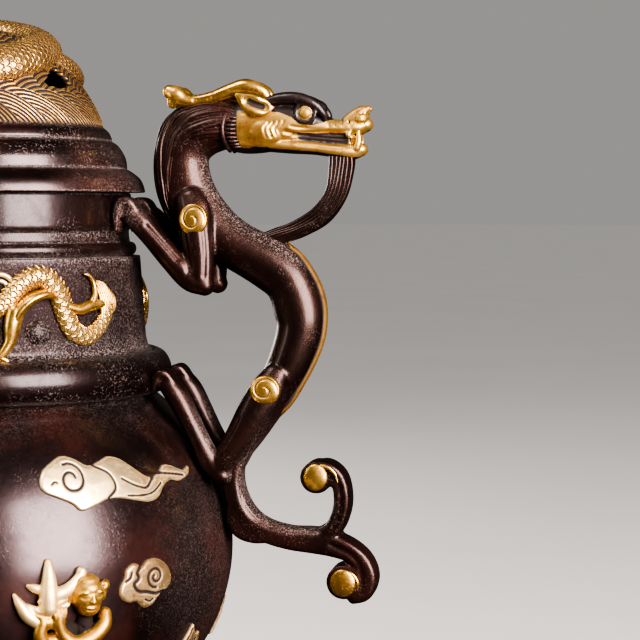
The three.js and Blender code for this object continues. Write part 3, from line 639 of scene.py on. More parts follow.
def addTurned(name, outline, material, body, nodes, turns=160, hollow=(14, 1.4), dust=None,
              matte=None):
    bm = bmesh.new()
    spun(bm, outline, turns)
    mesh = toMesh(name, bm)
    markHollows(mesh, *hollow)
    if dust:
        coords = readCoords(mesh)
        setValues(mesh, "dust",
                  dust(np.hypot(coords[:, 0], coords[:, 1]), coords[:, 2], np.abs(coords[:, 0])))
        if matte:
            setValues(mesh, "matte", matte(coords[:, 2], np.abs(coords[:, 0])))
    addPiece(name, mesh, material, body, nodes)


def nearHeights(heights, radius, height, outside):
    # dust on the outer side that fades with the distance from each height
    near = np.zeros(len(height))
    for level, reach, strength in heights:
        near = np.maximum(near, strength * np.exp(-((height - level) / reach) ** 2))
    return near * (radius > outside)


footOutline = rounded([(74, 0), (80, 0), (80, 6.4), (77, 9.2), (70.5, 15), (65, 23), (61.6, 33),
                       (60, 44), (60.2, 50), (57.2, 54.6), (51, 51.6), (53, 38), (61, 17.5),
                       (72, 7.2), (74, 0)], 1.6)
addTurned("burner_foot", footOutline, bronzeSkin, "vessel", ["foot"],
          dust=lambda r, z, x: nearHeights([(9.4, 1.2, 0.7), (51, 2.5, 0.6)], r, z, 56))


def bowlMatte(z, x):
    # no wax on the flanks and in a halo round the bearers
    halo = ramp(-np.hypot((x - 64) / 27, (z - 124) / 27), -1.2, -0.8)
    return np.maximum(0.75 * ramp(x, 92, 110), 0.9 * halo)


bowlInside = bowlArc(-bowl["wall"], 40)
bowlOutline = bowlArc(0, 72) + [(78, 221.6), (75.6, 221.2)] + bowlInside[::-1][1:]
addTurned("burner_bowl", bowlOutline, bronzeSkin, "vessel", ["bowl"], hollow=(6, 5),
          dust=lambda r, z, x: np.maximum(nearHeights([(222.5, 3, 0.7), (216, 9, 0.1)], r, z, 79),
                                      0.2 * ramp(x, 96, 116)),
          matte=bowlMatte)

torusLine = [(80, 221.5), (83.6, 221.7), (86.5, 222.8), (88.5, 225.8), (89.4, 231.3), (88.5, 235.8),
             (86.1, 239.8), (82.6, 241.8), (79.6, 242.0)]
torus = [tuple(row) for row in smoothRows(torusLine, 40)]
neckWall = [(77.7, 243.9), (76.9, 247.4), (76.5, 251), (75.7, 263), (74.9, 275), (74.1, 286.6),
            (73.7, 287.8)]
smallTorus = halfRound(69.6, 288.2, 294.6, 72.2)
band = rounded([(69.0, 294.8), (68.6, 297.4), (68.4, 300.2), (69.6, 301.6), (69.8, 303),
                (69.7, 317.6), (69, 318.6), (65.2, 318.6), (65.2, 297), (61.5, 297), (61.5, 293),
                (69, 285), (72, 250), (75.6, 236), (75.6, 221.5)], 0.8)
fineWall = [tuple(row) for row in smoothRows(neckWall, 30)]
neckOutline = torus + fineWall + smallTorus + band + [(80, 221.5)]
addTurned("burner_neck", neckOutline, neckSkin, "vessel", ["neck"], turns=192,
          hollow=(10, 0.8), dust=lambda r, z, x: np.maximum(
              nearHeights([(243.6, 2.4, 0.95), (287.4, 2.0, 0.9), (298.6, 2.4, 0.6),
                           (221.6, 1.5, 0.9), (247, 6, 0.5),
                           (284, 4, 0.4), (318, 0.6, 0.5)], r, z, 67),
              (0.07 + 0.26 * ramp(x, 48, 76)) * ramp(z, 240, 247) * ramp(-z, -289, -286)),
          matte=lambda z, x: ramp(z, 243, 246) * ramp(-z, -288, -286))

liner = [(0, 246), (54, 246), (58.6, 248.6), (60.4, 255), (60.7, 297.3), (64.2, 297.3),
         (64.2, 299.1), (58.9, 299.1), (57.2, 253), (53, 248), (0, 247.8)]
addTurned("ash_cup", rounded(liner, 1.2), copperSkin, "liner", ["ash_liner"], turns=128)
print("vessel ready")

# lid: stepped rim and pierced dome
lidOutline = [(64.4, 312.4), (64.4, 318.9)]
lidSteps = [([(76.2, 318.9), (76.6, 319.4), (75.9, 322.4), (74.4, 325.4), (71.4, 328.1),
              (68.4, 330)], 24),
            ([(67.7, 330.3), (67.9, 331.2), (67.4, 335), (65.9, 338.4), (63.5, 341.8),
              (60.9, 343.7)], 20),
            ([(60.3, 344.1), (60.5, 344.9), (60.1, 346.2), (59.0, 348.4), (57.0, 350.2),
              (56.2, 350.9)], 14)]
for step, count in lidSteps:
    lidOutline += [tuple(row) for row in smoothRows(step, count)]
lidOutline += [(52.8, 350.9), (54.4, 338.5), (60.2, 325), (60.2, 312.4), (64.4, 312.4)]
addTurned("lid_rings", lidOutline, ringSkin, "lid", ["lid_rim"], turns=192,
          hollow=(4, 0.35), dust=lambda r, z, x: np.maximum(
              nearHeights([(319, 0.8, 0.9), (330.4, 0.8, 0.95), (344, 0.8, 0.95), (350.8, 1, 0.6)],
                          r, z, 55),
              0.3 * ramp(x, 48, 72)))

dome = {"radius": 56.2, "height": 47, "foot": 350.9, "wall": 3.4, "halfGirth": 156,
        "waveLean": 0.45, "holes": 6, "holeTurn": 66, "holeRise": 21.6}


def domeRise(radius, offset=0):
    share = np.minimum(1, radius / (dome["radius"] + offset))
    return (dome["height"] + offset) * (1 - share ** 2.1) ** 0.78


def domeLine(offset, rows):
    points = []
    for i in range(rows + 1):
        radius = (dome["radius"] + offset) * math.cos(math.pi / 2 * i / rows)
        points.append((0 if i == rows else radius, dome["foot"] + float(domeRise(radius, offset))))
    return points


def domeOut(centres):
    radius = np.hypot(centres[:, 0], centres[:, 1])
    fall = domeRise(radius - 0.5) - domeRise(radius + 0.5)
    lean = fall / np.maximum(radius, 1e-6)
    return unit(np.stack([centres[:, 0] * lean, centres[:, 1] * lean, np.ones(len(centres))],
                         axis=1))


bm = bmesh.new()
spun(bm, domeLine(0, 96) + domeLine(-dome["wall"], 8)[::-1] + [(dome["radius"], dome["foot"])], 640)
domeMesh = toMesh("dome", bm)
worker = bpy.data.objects.new("dome_worker", domeMesh)
bpy.context.scene.collection.objects.link(worker)
holeOutline = smoothLoop([(-9, -3.4), (-1, -5.2), (7, -4.4), (9.5, 0), (3, 5.4), (-4, 2)], 24)
bm = bmesh.new()
for i in range(dome["holes"]):
    turn = Matrix.Rotation(math.radians(dome["holeTurn"] + 60 * i), 4, "Z")
    level = dome["foot"] + dome["holeRise"]
    ring = [bm.verts.new(turn @ Vector((x, -20, level + 0.85 * z))) for x, z in holeOutline]
    face = bm.faces.new(ring)
    pulled = bmesh.ops.extrude_face_region(bm, geom=[face])
    moved = [item for item in pulled["geom"] if isinstance(item, bmesh.types.BMVert)]
    bmesh.ops.translate(bm, verts=moved, vec=turn @ Vector((0, -60, 0)))
bmesh.ops.recalc_face_normals(bm, faces=bm.faces[:])
cutter = bpy.data.objects.new("cutter", toMesh("cutter", bm))
bpy.context.scene.collection.objects.link(cutter)
cut = worker.modifiers.new("pierced", "BOOLEAN")
cut.operation = "DIFFERENCE"
cut.solver = "EXACT"
cut.object = cutter
ready = worker.evaluated_get(bpy.context.evaluated_depsgraph_get())
pierced = bpy.data.meshes.new_from_object(ready)
bpy.data.objects.remove(worker)
bpy.data.objects.remove(cutter)
coords = readCoords(pierced)
setValues(pierced, "along", coords[:, 2] - dome["foot"])
setValues(pierced, "ink_and_shade", 0.8 * ramp(dome["foot"] - coords[:, 2], -2.4, -0.3))
# kept by face corner, so that the waves have no seam where the angle starts again
layer = pierced.attributes.new("around", "FLOAT", "CORNER")
for face in pierced.polygons:
    middle = math.atan2(face.center.y, face.center.x)
    for corner in face.loop_indices:
        spot = coords[pierced.loops[corner].vertex_index]
        off = (math.atan2(spot[1], spot[0]) - middle + math.pi) % (2 * math.pi) - math.pi
        lean = dome["waveLean"] * (spot[2] - dome["foot"])
        layer.data[corner].value = (middle + off) / math.pi * dome["halfGirth"] + lean
rise = coords[:, 2] - dome["foot"]
proud = rise - domeRise(np.hypot(coords[:, 0], coords[:, 1]))
outside = ramp(proud, -1.2, -0.4) * ramp(rise, 0.2, 1)
angle = np.arctan2(coords[:, 1], coords[:, 0])
around = angle / math.pi * dome["halfGirth"] + dome["waveLean"] * rise
relief = waveRelief(rise / domePattern["along"], around / domePattern["around"])
emboss(pierced, relief * outside, domePattern["relief"])
addPiece("lid_dome_shell", pierced, waveSkin, "lid", ["lid_dome"])

# azimuth, radius, half width, half height
coilWay = [(62, 30, 2.6, 1.8), (82, 34.5, 5, 3), (100, 38.4, 7.4, 4.4), (120, 41.4, 8, 5),
           (150, 42.8, 7.8, 5.4), (200, 43, 8.6, 6.3), (250, 44, 9, 6.6),
           (300, 44.5, 9.2, 6.8), (345, 43.6, 9.4, 7), (385, 41, 9.6, 7.4), (408, 37, 9.8, 7.6),
           (425, 32.8, 9.8, 7.4), (452, 28.4, 9.6, 7.4), (490, 21.6, 9, 8.6), (540, 16.5, 8.8, 9.8),
           (600, 16, 8.6, 9.8), (645, 19, 8.8, 9), (672, 25, 9, 7.6), (688, 30, 6, 5)]
coilRows = []
for azimuth, radius, halfWidth, halfLift in coilWay:
    angle = math.radians(azimuth - 90)
    level = dome["foot"] + float(domeRise(radius))
    coilRows.append((radius * math.cos(angle), radius * math.sin(angle), level, halfWidth,
                     halfLift))
bm = bmesh.new()
sweep(bm, coilRows, count=620, sides=72, wide=domeOut)
coil = toMesh("coil", bm)
coords = readCoords(coil)
standing = coords[:, 2] - dome["foot"] - domeRise(np.hypot(coords[:, 0], coords[:, 1]))
setValues(coil, "ink_and_shade", 0.9 * ramp(-standing, -1.9, -0.4))
embossScales(coil, coilPattern)
addPiece("lid_dragon_coil", coil, coilSkin, "lid", ["lid_dragon"])
print("lid ready")

# dragon handle: rows of x, y, z, half depth, half width
trunk = [(127, 0, 351, 11.5, 10), (116, 0, 351, 12.5, 11), (104, 0, 347, 14, 11.5),
         (98.5, 0, 337, 12.8, 11), (98.8, 0, 325, 13.2, 11), (103, 0, 313, 13.8, 11.5),
         (112, 0, 301.5, 13.5, 12.5), (125, 0, 293, 11.8, 12.5), (141.5, 0, 284, 12.6, 12),
         (150.8, 0, 275.6, 12.2, 11.8), (155.3, 0, 263, 12.5, 11.5), (155.6, 0, 252, 11.7, 11.2),
         (150.5, 0, 237, 10.8, 11), (143, 0, 223.5, 9.5, 10.5), (134.5, 0, 210, 8.6, 9.5),
         (127.5, 0, 199, 7.4, 8.5), (124, 0, 190, 6, 8)]
tailRoot = [(125.8, 0, 196.5, 6.2, 8), (123.4, 0, 188, 4.8, 8), (123, 0, 179, 4.8, 8),
            (125.6, 0, 169.4, 5, 8), (131, 0, 161.2, 5.2, 8), (139.5, 0, 155.8, 5.2, 8),
            (151, 0, 152.8, 5.4, 8), (162, 0, 152, 6, 8), (172, 0, 150.4, 5.8, 8),
            (181, 0, 147, 5, 8), (187, 0, 141.6, 4.6, 8), (189.4, 0, 134.6, 4.4, 8),
            (187.4, 0, 128, 4, 8), (182, 0, 125.8, 3.6, 8)]
tailUpper = [(163, 0, 153, 3.6, 7.4), (172, 0, 158, 4.2, 8), (176, 0, 166.5, 4.2, 8),
             (176.6, 0, 175, 4.1, 8), (174.4, 0, 183, 4, 8), (168.6, 0, 187.4, 3.8, 8),
             (162.4, 0, 186, 3.4, 8)]
legs = {"foreSpread": 14, "hindSpread": 14.5, "half": 5.6}
toes = ((-1.5, -1), (-0.5, -0.3), (0.5, 0.3), (1.5, 1))


def legForms(bm, side):
    half, y, h = legs["half"], side * legs["foreSpread"], side * legs["hindSpread"]
    sweep(bm, [(104, y - side * 3, 316, 7, half - 1), (106.5, y - side * 1.5, 309, 8.6, half),
               (108, y, 299, 8, half + 0.4), (110, y, 286, 6.8, half),
               (110.5, y, 275.5, 5.8, half - 0.4)],
          30, 20)
    sweep(bm, [(112, y, 274.5, 5, half - 0.4), (105, y, 278, 6.2, half), (96, y, 287, 5.8, half),
               (87, y, 297.5, 5.6, half), (80.5, y, 305, 6, half + 0.2),
               (77, y, 308, 5.6, half + 0.6)], 36, 20)
    for toe, lean in toes:
        spreadY = y + toe * 3.0
        sweep(bm, [(80, y + toe * 1.6, 308, 2.6, 2.2), (76.5, spreadY, 313.2, 2.6, 1.9),
                   (72.6, spreadY + lean * 0.6, 314, 2.5, 1.8),
                   (70.6, spreadY + lean, 309, 2.2, 1.6),
                   (70.3, spreadY + lean * 1.2, 303, 1.5, 1.1),
                   (70.6, spreadY + lean * 1.2, 299.5, 0.6, 0.5)],
              22, 12)
    sweep(bm, [(146, h - side * 5, 233, 6, half - 2), (142, h - side * 2, 225, 8.4, half),
               (136.5, h - side, 215, 8.6, half + 0.6), (129.5, h, 203, 7.4, half),
               (122.5, h, 192.5, 6.2, half), (118, h, 186, 5, half - 0.6)], 32, 20)
    sweep(bm, [(120.5, h, 184, 4.8, half - 0.6), (114.5, h, 191, 5.6, half), (109, h, 202, 5, half),
               (103.5, h, 213, 5.2, half + 0.4), (98.5, h, 222, 5.6, half + 0.8),
               (94, h, 227.6, 5, half + 0.4), (90.4, h, 229.4, 4, half - 0.4)], 40, 20)
    for toe, lean in toes:
        spreadY = h + toe * 3.0
        sweep(bm, [(96.5, h + toe * 2.2, 228.6, 2.4, 2), (93, spreadY, 232.6, 2.4, 1.9),
                   (90, spreadY + lean * 0.6, 231.6, 2.2, 1.7),
                   (88.8, spreadY + lean, 227.6, 1.7, 1.3),
                   (88, spreadY + lean * 1.2, 224, 0.8, 0.6)], 18, 12)


bm = bmesh.new()
sweep(bm, trunk, 150, 40)
sweep(bm, tailRoot, 120, 40, corner=0.42)
sweep(bm, tailUpper, 60, 36, corner=0.42)
sweep(bm, [(124.4, 0, 173, 3, 7.4), (124.2, 0, 164, 4.2, 7.8), (127, 0, 157.4, 4.8, 7.9),
           (134, 0, 154, 4, 7.9), (143, 0, 153.4, 2.6, 7.6)], 60, 36, corner=0.42)
for side in (-1, 1):
    legForms(bm, side)
for x, z, radius in ((164.4, 183, 7.7), (177.6, 133, 8.2)):
    lying = Matrix.Translation((x, 0, z)) @ Matrix.Rotation(math.pi / 2, 4, "X")
    bmesh.ops.create_cone(bm, cap_ends=True, segments=40, radius1=radius, radius2=radius,
                          depth=15.4, matrix=lying)
body = fuse("handle_body", bm, 0.8, 3)
fore, hind = legs["foreSpread"] + 5.2, legs["hindSpread"] + 5.2
carve(body, [(103, fore, 300), (104.5, fore, 290), (105.5, fore, 281)], 1.3, 0.7)
carve(body, [(112.6, fore, 303), (113.6, fore, 291), (113.2, fore, 279)], 1.2, 0.6)
carve(body, [(100, fore, 287), (92, fore, 296), (85, fore, 303)], 1.2, 0.6)
carve(body, [(129, hind, 212), (124, hind, 203), (119, hind, 195)], 1.1, 0.5)
tailSide = 7.6
carve(body, [(128, tailSide, 181), (129.5, tailSide, 170), (136, tailSide, 162),
             (150, tailSide, 157.6), (166, tailSide, 157.5)], 1.3, 0.8)
carve(body, [(172, tailSide, 151), (182, tailSide, 146), (186.5, tailSide, 138),
             (186, tailSide, 131)], 1.2, 0.7)
carve(body, [(173, tailSide, 160), (176.4, tailSide, 170), (175.4, tailSide, 180),
             (169, tailSide, 186)], 1.2, 0.6)
markHollows(body, 40, 1.6)
coords, normals = readCoords(body), readNormals(body)
x, y, z = coords.T
rootDust = ramp(-z, -226, -200) * ramp(-x, -150, -138)
rootDust *= ramp(normals[:, 0] + normals[:, 2] * 0.4, 0.3, 0.8)
topDust = ramp(-z, -172, -166) * ramp(-x, -176, -166) * ramp(normals[:, 2], 0.35, 0.8)
rollDust = ramp(z, 160, 168) * ramp(x, 150, 158) * ramp(-z, -200, -190)
rollDust = rollDust * ramp(-normals[:, 0], 0.3, 0.8) * 0.6
tailDust = np.maximum(np.maximum(rootDust, topDust), rollDust) * 0.62
throatLine = [(112, 0, 335), (112, 0, 315), (120, 0, 305), (140, 0, 296), (152, 0, 288)]
throat = ramp(-nearPath(coords, throatLine), -13, -7)
throat *= ramp(normals[:, 0] * 0.6 + normals[:, 2] * 0.5, -0.1, 0.5) * 0.5
paws = ramp(-np.hypot(x - 72, z - 308), -14, -5) * 0.4
setValues(body, "dust", averaged(body, np.maximum(np.maximum(tailDust, throat), paws), 4))
print("handle body", len(body.polygons))


def rideHandle(name, mesh, material, parts):
    # the piece on the right handle and its half turned copy on the left one
    left = mirrored(mesh, turnBack)
    for label, ready in (("right", mesh), ("left", left)):
        nodes = [f"{label}_dragon_{part}" for part in parts]
        addPiece(f"{label}_{name}", ready, material, "vessel", nodes)


rideHandle("handle_body", body, handleSkin,
           ["body", "tail", "fore_leg_a", "fore_leg_b", "hind_leg_a", "hind_leg_b"])

# head: skull, snout, jaw, brow, nostrils, fangs and eyes in one skin
eyeX, eyeZ = 159.8, 355.8
bm = bmesh.new()
sweep(bm, [(121, 0, 350.4, 11.6, 10), (129, 0, 350, 12.8, 11.2), (137, 0, 349.8, 12.4, 11.6),
           (147, 0, 350.8, 11.6, 11.2), (156, 0, 351.6, 10, 10), (163, 0, 350.8, 7.4, 8.6),
           (169, 0, 349.6, 4.8, 7.2)], 50, 32)
sweep(bm, [(158, 0, 349.8, 4.6, 8), (168, 0, 349.6, 4.2, 7.2), (176, 0, 349, 4, 6.6),
           (183, 0, 349.6, 4.4, 6), (187.2, 0, 350.6, 3.6, 4.6)], 30, 28)
sweep(bm, [(146, 0, 345.2, 2.4, 7.8), (160, 0, 345, 2.4, 6.6), (170, 0, 344.4, 2.6, 5.4),
           (177, 0, 344, 2.8, 4.6), (183, 0, 344, 2.8, 3.8)], 26, 20)
sweep(bm, [(128, 0, 342.8, 3.8, 9.4), (142, 0, 341.8, 4, 9.4), (152, 0, 340.8, 3.8, 8.8),
           (163, 0, 339.8, 3.4, 7.8), (174, 0, 338.4, 3.5, 6.8), (181, 0, 338, 3.9, 5.8),
           (185.4, 0, 338.8, 3, 4.2)], 44, 28)
ball(bm, (152, 0, 357.6), (17, 8, 6.4), -0.06, 32)
for side in (-1, 1):
    ball(bm, (139.4, side * 5.6, 347.6), (11.6, 6.9, 8.6), segments=32)
    sweep(bm, [(136, side * 5.8, 359.6, 2.4, 3), (147, side * 7.4, 362.6, 2.9, 3.3),
               (156.4, side * 8.4, 362.6, 2.9, 3), (163.4, side * 8.4, 360, 2.5, 2.6),
               (167.8, side * 7.4, 355.8, 1.9, 2), (168.6, side * 6.6, 352.6, 1, 1)],
          36, 16)
    ball(bm, (eyeX, side * 8.9, eyeZ), (3.3, 2.6, 3.2))
    ring = [(eyeX + 4.7 * math.cos(a), side * 9.5, eyeZ + 4.4 * math.sin(a), 0.95, 0.95)
            for a in np.linspace(0, 2 * math.pi, 13)]
    sweep(bm, ring, 48, 10)
    ball(bm, (184.8, side * 3.9, 353.4), (3.8, 3, 3.5))
    sweep(bm, [(178, side * 2.6, 351.8, 2.6, 2.8), (183, side * 3, 355, 3, 2.8),
               (186.6, side * 3, 357, 2.6, 2.4), (188.6, side * 2.8, 358, 1.4, 1.4)], 18, 14)
    sweep(bm, [(183.4, side * 4.6, 339.4, 1.7, 1.4), (184.4, side * 4.6, 343.4, 1.5, 1.2),
               (184, side * 4.4, 348, 0.6, 0.5)],
          14, 12)
    sweep(bm, [(179.8, side * 5.2, 348.4, 1.6, 1.2), (179.6, side * 5.4, 344.8, 1.3, 1.1),
               (180.4, side * 5.2, 341, 0.5, 0.5)],
          14, 12)
head = fuse("head", bm, 0.42, 3)
mouth = [(150.5, 10.6, 346.8), (154, 9.8, 345.8), (160, 8.8, 345), (167, 7.8, 344.4),
         (174, 7, 343.8), (180, 5.6, 343.4)]
ink = carve(head, mouth, 1.0, 1.5) * 0.85
ink = np.maximum(ink, carve(head, [(x, y - 2, z - 0.2) for x, y, z in mouth[1:]], 1.2, 1.2) * 0.85)
grooves = []
for k, bend in enumerate((0, 2.4, 4.8, 7.2)):
    grooves.append([(149.6 - bend, 11.4, 351.8 - k * 0.3), (147.8 - bend, 12, 348.4),
                    (149 - bend * 1.05, 11.4, 344.8)])
grooves.append([(186.8, 5.8, 355.8), (183, 6.4, 354.8), (183, 6.2, 351.6), (186.6, 5.4, 351.2)])
grooves.append([(153, 9.8, 349.6), (162, 9, 348.4), (171, 7.6, 347.4), (180, 6.6, 347.6)])
grooves.append([(156, 8.8, 341.4), (166, 7.6, 340.2), (177, 6.4, 339.2)])
for k in range(4):
    grooves.append([(168.6 + 3.4 * k, 0, 354.4), (169.4 + 3.4 * k, 4.4, 352.8),
                    (170.6 + 3.4 * k, 6.8, 349.8)])
for groove in grooves:
    ink = np.maximum(ink, carve(head, groove, 0.6, 0.6) * 0.45)
markHollows(head, 10, 0.3)
x, y, z = readCoords(head).T
normals = readNormals(head)
browLine = np.interp(x, [120, 141, 147, 153, 157, 163, 167, 170, 172, 174, 176],
                     [357.5, 356.8, 356.4, 354, 350.8, 350.2, 351, 352.4, 353, 355, 400])
underline = np.interp(x, [120, 130, 150, 170, 178, 190], [340, 339.6, 338.4, 336, 335, 333.6])
gilt = ramp(browLine - z, -0.3, 0.5) * ramp(z - underline, -0.2, 0.6)
eyeGilt = ramp(-np.hypot(x - eyeX, z - eyeZ), -3.5, -3.1) * ramp(np.abs(y), 8.6, 9.2)
gilt = np.maximum(gilt, eyeGilt)
gilt *= ramp(normals[:, 2], -0.93, -0.75) * ramp(x, 126.6, 127.6)
gums = np.stack([x, np.abs(y), z], axis=1)
inMouth = ramp(-nearPath(gums, [(153, 4, 345.6), (167, 3.6, 344.4), (178, 3, 344)]), -3.2, -2.4)
setValues(head, "gilt", gilt * (1 - 0.9 * inMouth))
soot = 0.55 * ramp(x, 160, 168) * ramp(-x, -184, -177) * ramp(z, 347.6, 350.6)
# painted shade: the gilding darkens behind the cheek next to the ruff, along its lower edge and
# just under the brow, and is kept together with the inked grooves
shade = np.maximum(0.55 * ramp(-x, -132, -126.5), 0.45 * ramp(underline - z, -3.6, -0.4))
shade = np.maximum(shade, 0.4 * ramp(z - browLine, -2.6, -0.2))
nape = ramp(-x, -127.6, -126.4)
setValues(head, "ink_and_shade", np.maximum(np.maximum(np.maximum(inMouth * 0.8, ink), nape),
                                   np.maximum(soot, shade)))
print("head", len(head.polygons))
rideHandle("dragon_head_skin", head, headSkin, ["head"])

# ears: a leaf with a hollow on the outer face
bm = bmesh.new()
for side in (-1, 1):
    sweep(bm, [(144.5, side * 10.6, 358.4, 0.8, 0.8), (142, side * 11.2, 358.4, 3.4, 1.4),
               (137, side * 12.4, 359, 5, 1.7), (132, side * 13, 361.4, 4, 1.4),
               (127.6, side * 13.4, 364.4, 1.2, 0.8)], 34, 28)
ears = fuse("ears", bm, 0.4, 3)
carve(ears, [(141, 13.4, 358.6), (137, 14.4, 359.4), (132.5, 14.8, 361.4)], 2.1, 1.3)
ink = carve(ears, [(139.8, 12.6, 358.8), (136.6, 13.2, 359.8), (133.6, 13.6, 361.2)], 1.5, 0.9)
markHollows(ears, 14, 0.5)
setValues(ears, "ink_and_shade", ramp(ink, 0.12, 0.5))
rideHandle("dragon_ears", ears, goldSkin, [])

# horns
bm = bmesh.new()
for side in (-1, 1):
    sweep(bm, [(142, side * 4.8, 361, 1.6, 2), (138.4, side * 5, 366, 3.2, 3),
               (131, side * 5.6, 368.6, 3.8, 3.4), (124, side * 5.8, 367, 3.6, 3.3),
               (115, side * 6.2, 363.8, 3.1, 3), (107, side * 6.4, 362.2, 2.9, 3),
               (101, side * 6.8, 362.6, 3.6, 3.4), (96.6, side * 7, 365, 4.6, 3.9),
               (93.6, side * 7, 366.6, 3.4, 3.2)], 70, 24)
    ball(bm, (95.6, side * 7, 362.4), (3, 3, 4), 0.3)
horns = fuse("horns", bm, 0.55, 4)
carve(horns, [(136, 8.6, 366), (126, 9.4, 366.8), (116, 9.4, 363.8), (106, 9.4, 362.2)], 0.7, 0.45)
markHollows(horns, 14, 0.5)
rideHandle("dragon_horns", horns, goldSkin, ["horn_a", "horn_b"])

# mane: grooved locks that leave the ruff and lie back along the neck
mane = smoothRows(trunk[:7], 120)
tangent = unit(np.gradient(mane[:, :3], axis=0))
outward = np.cross((0, 1, 0), tangent)
# angle round the neck, start and stop along it, half width
lockForms = [(13, 0.02, 0.98, 3.3), (36, 0.0, 0.9, 3.5), (59, 0.0, 0.8, 3.4), (81, 0.02, 0.64, 3.2),
             (104, 0.03, 0.44, 2.8), (127, 0.04, 0.30, 2.4)]


def fromNeck(centres):
    near = [np.argmin(((mane[:, :3] - centre) ** 2).sum(axis=1)) for centre in centres]
    return unit(centres - mane[near, :3])


bm = bmesh.new()
for side in (-1, 1):
    for number, (angle, start, stop, half) in enumerate(lockForms):
        rows = []
        for share in np.linspace(start, stop, 9):
            i = int(share * 119)
            sway = math.radians(angle + 6 * math.sin(share * 10 + number * 1.7))
            lift = 0.9 * math.sin(math.pi * min(1, (share - start) / (stop - start)) ** 0.7)
            depth, width = mane[i, 3] - 1.6 + lift, mane[i, 4] - 1.2 + lift
            spot = mane[i, :3] + outward[i] * depth * math.cos(sway)
            spot = spot + np.array((0, side, 0)) * width * math.sin(sway)
            taper = min(1, 0.45 + 3 * (share - start)) * min(1, (stop - share) * 5 + 0.22)
            rows.append((*spot, half * taper, half * 0.56 * taper))
        sweep(bm, rows, 60, 48, wide=fromNeck, ripple=(8, 0.11))
maneMesh = toMesh("mane", bm)
markHollows(maneMesh, 3, 0.42)
rideHandle("dragon_mane", maneMesh, handleSkin, [])

# ruff of short ridges behind the cheek
bm = bmesh.new()
for side in (-1, 1):
    for k in range(11):
        turn = math.radians(-60 + 12 * k)
        spotY, spotZ = side * 11.2 * math.cos(turn * 0.9), 348.4 + 9.4 * math.sin(turn)
        back = 123.4 + 2.6 * abs(math.sin(turn)) ** 2
        sweep(bm, [(back + 2.6, spotY * 0.96, spotZ, 0.8, 1.0),
                   (back + 0.6, spotY * 1.03, spotZ, 0.85, 1.3),
                   (back - 1.6, spotY, spotZ, 0.6, 0.8)], 10, 10)
    rim = [(120.4 + 2.4 * abs(math.sin(math.radians(a))) ** 2,
            side * 11.4 * math.cos(math.radians(a * 0.9)), 348.4 + 10.2 * math.sin(math.radians(a)),
            1.1, 1.3) for a in range(-72, 80, 16)]
    sweep(bm, rim, 40, 12)
ruff = toMesh("ruff", bm)
markHollows(ruff, 3, 0.5)
rideHandle("dragon_ruff", ruff, handleSkin, [])

# beard: a bundle of strands that bows from the chin back to the breast
beardLine = [(176, 338, 5.4), (175.6, 330, 5.6), (173, 318, 5), (166, 308, 4.4), (155, 301.4, 4),
             (144, 297.6, 3.6), (137, 295.4, 3)]
bm = bmesh.new()
for row in range(6):
    for column in (-1.5, -0.5, 0.5, 1.5):
        offset = (row - 2.5) / 2.5
        path = []
        for k, (x, z, half) in enumerate(beardLine):
            nextX, nextZ, _ = beardLine[min(k + 1, 6)]
            lastX, lastZ, _ = beardLine[max(k - 1, 0)]
            way = Vector((nextX - lastX, nextZ - lastZ)).normalized()
            wave = 0.5 * math.sin(k * 1.9 + row * 1.3 + column)
            shift = offset * (half - 0.9) + wave * 0.5
            across = column * (2.0 - abs(offset) * 0.3) * (1 - 0.04 * k) + wave * 0.3
            path.append((x - way.y * shift, across, z + way.x * shift, 1.25, 1.3))
        sweep(bm, path, 44, 10)
beard = toMesh("beard", bm)
markHollows(beard, 2, 0.7)
rideHandle("dragon_beard_strands", beard, handleSkin, ["beard"])
print("beard ready")

# gilt discs with a spiral groove on shoulder, haunch and tail rolls
discs = [(107.6, legs["foreSpread"] + 3.7, 305.8, 6.9, 7.5, 2.6),
         (142, legs["hindSpread"] + 3.4, 225.6, 7.2, 6.8, 2.6), (164.2, 6.9, 183.2, 5.8, 6.5, 2.2),
         (177.4, 6.9, 132.8, 6.3, 6.7, 2.2)]


def spiralGroove(across, up):
    # a groove of one and a half turns on a disc of radius one
    reach = np.hypot(across, up)
    turnShare = (reach * 1.6 + np.arctan2(up, across) / (2 * math.pi)) % 1
    return np.exp(-((turnShare - 0.5) / 0.11) ** 2) * (reach > 0.2) * (reach < 0.9)


bm = bmesh.new()
for x, y, z, a, b, rise in discs:
    button = bmesh.new()
    spun(button, [(0.36 * i, 0) for i in range(28)] + [(10, 0), (10, -5), (0, -5)], 72)
    for vert in button.verts:
        across, up = vert.co.x / 10, vert.co.y / 10
        groove = float(spiralGroove(across, up)) if rise > 2.4 else 0
        lift = rise * math.sqrt(max(0, 1 - across ** 2 - up ** 2)) * 0.8 + 0.8 - groove * 0.9
        if vert.co.z <= -1:
            lift = -1.6
        vert.co = Vector((x + across * a, y + lift, z + up * b))
    one = toMesh("button", button)
    bm.from_mesh(one)
    bm.from_mesh(mirrored(one, flipSide))
for side in (-1, 1):
    for rows in ([(165, 188.6, 0.7), (169.4, 188.4, 1), (173.4, 185.4, 0.9), (175, 181, 0.3)],
                 [(177, 139, 0.4), (181.6, 137.4, 0.9), (184.4, 133.6, 0.9), (184.4, 129, 0.3)]):
        sweep(bm, [(x, side * 7.5, z, half, half * 0.8) for x, z, half in rows], 24, 10)
bmesh.ops.recalc_face_normals(bm, faces=bm.faces[:])
discMesh = toMesh("discs", bm)
markHollows(discMesh, 5, 0.2)
coords = readCoords(discMesh)
inked = np.zeros(len(coords))
for x, y, z, a, b, rise in discs[:2]:
    across, up = (coords[:, 0] - x) / a, (coords[:, 2] - z) / b
    inked = np.maximum(inked, spiralGroove(across, up) * (np.hypot(across, up) < 1))
setValues(discMesh, "ink_and_shade", inked)
rideHandle("gilt_spirals", discMesh, goldSkin, [])

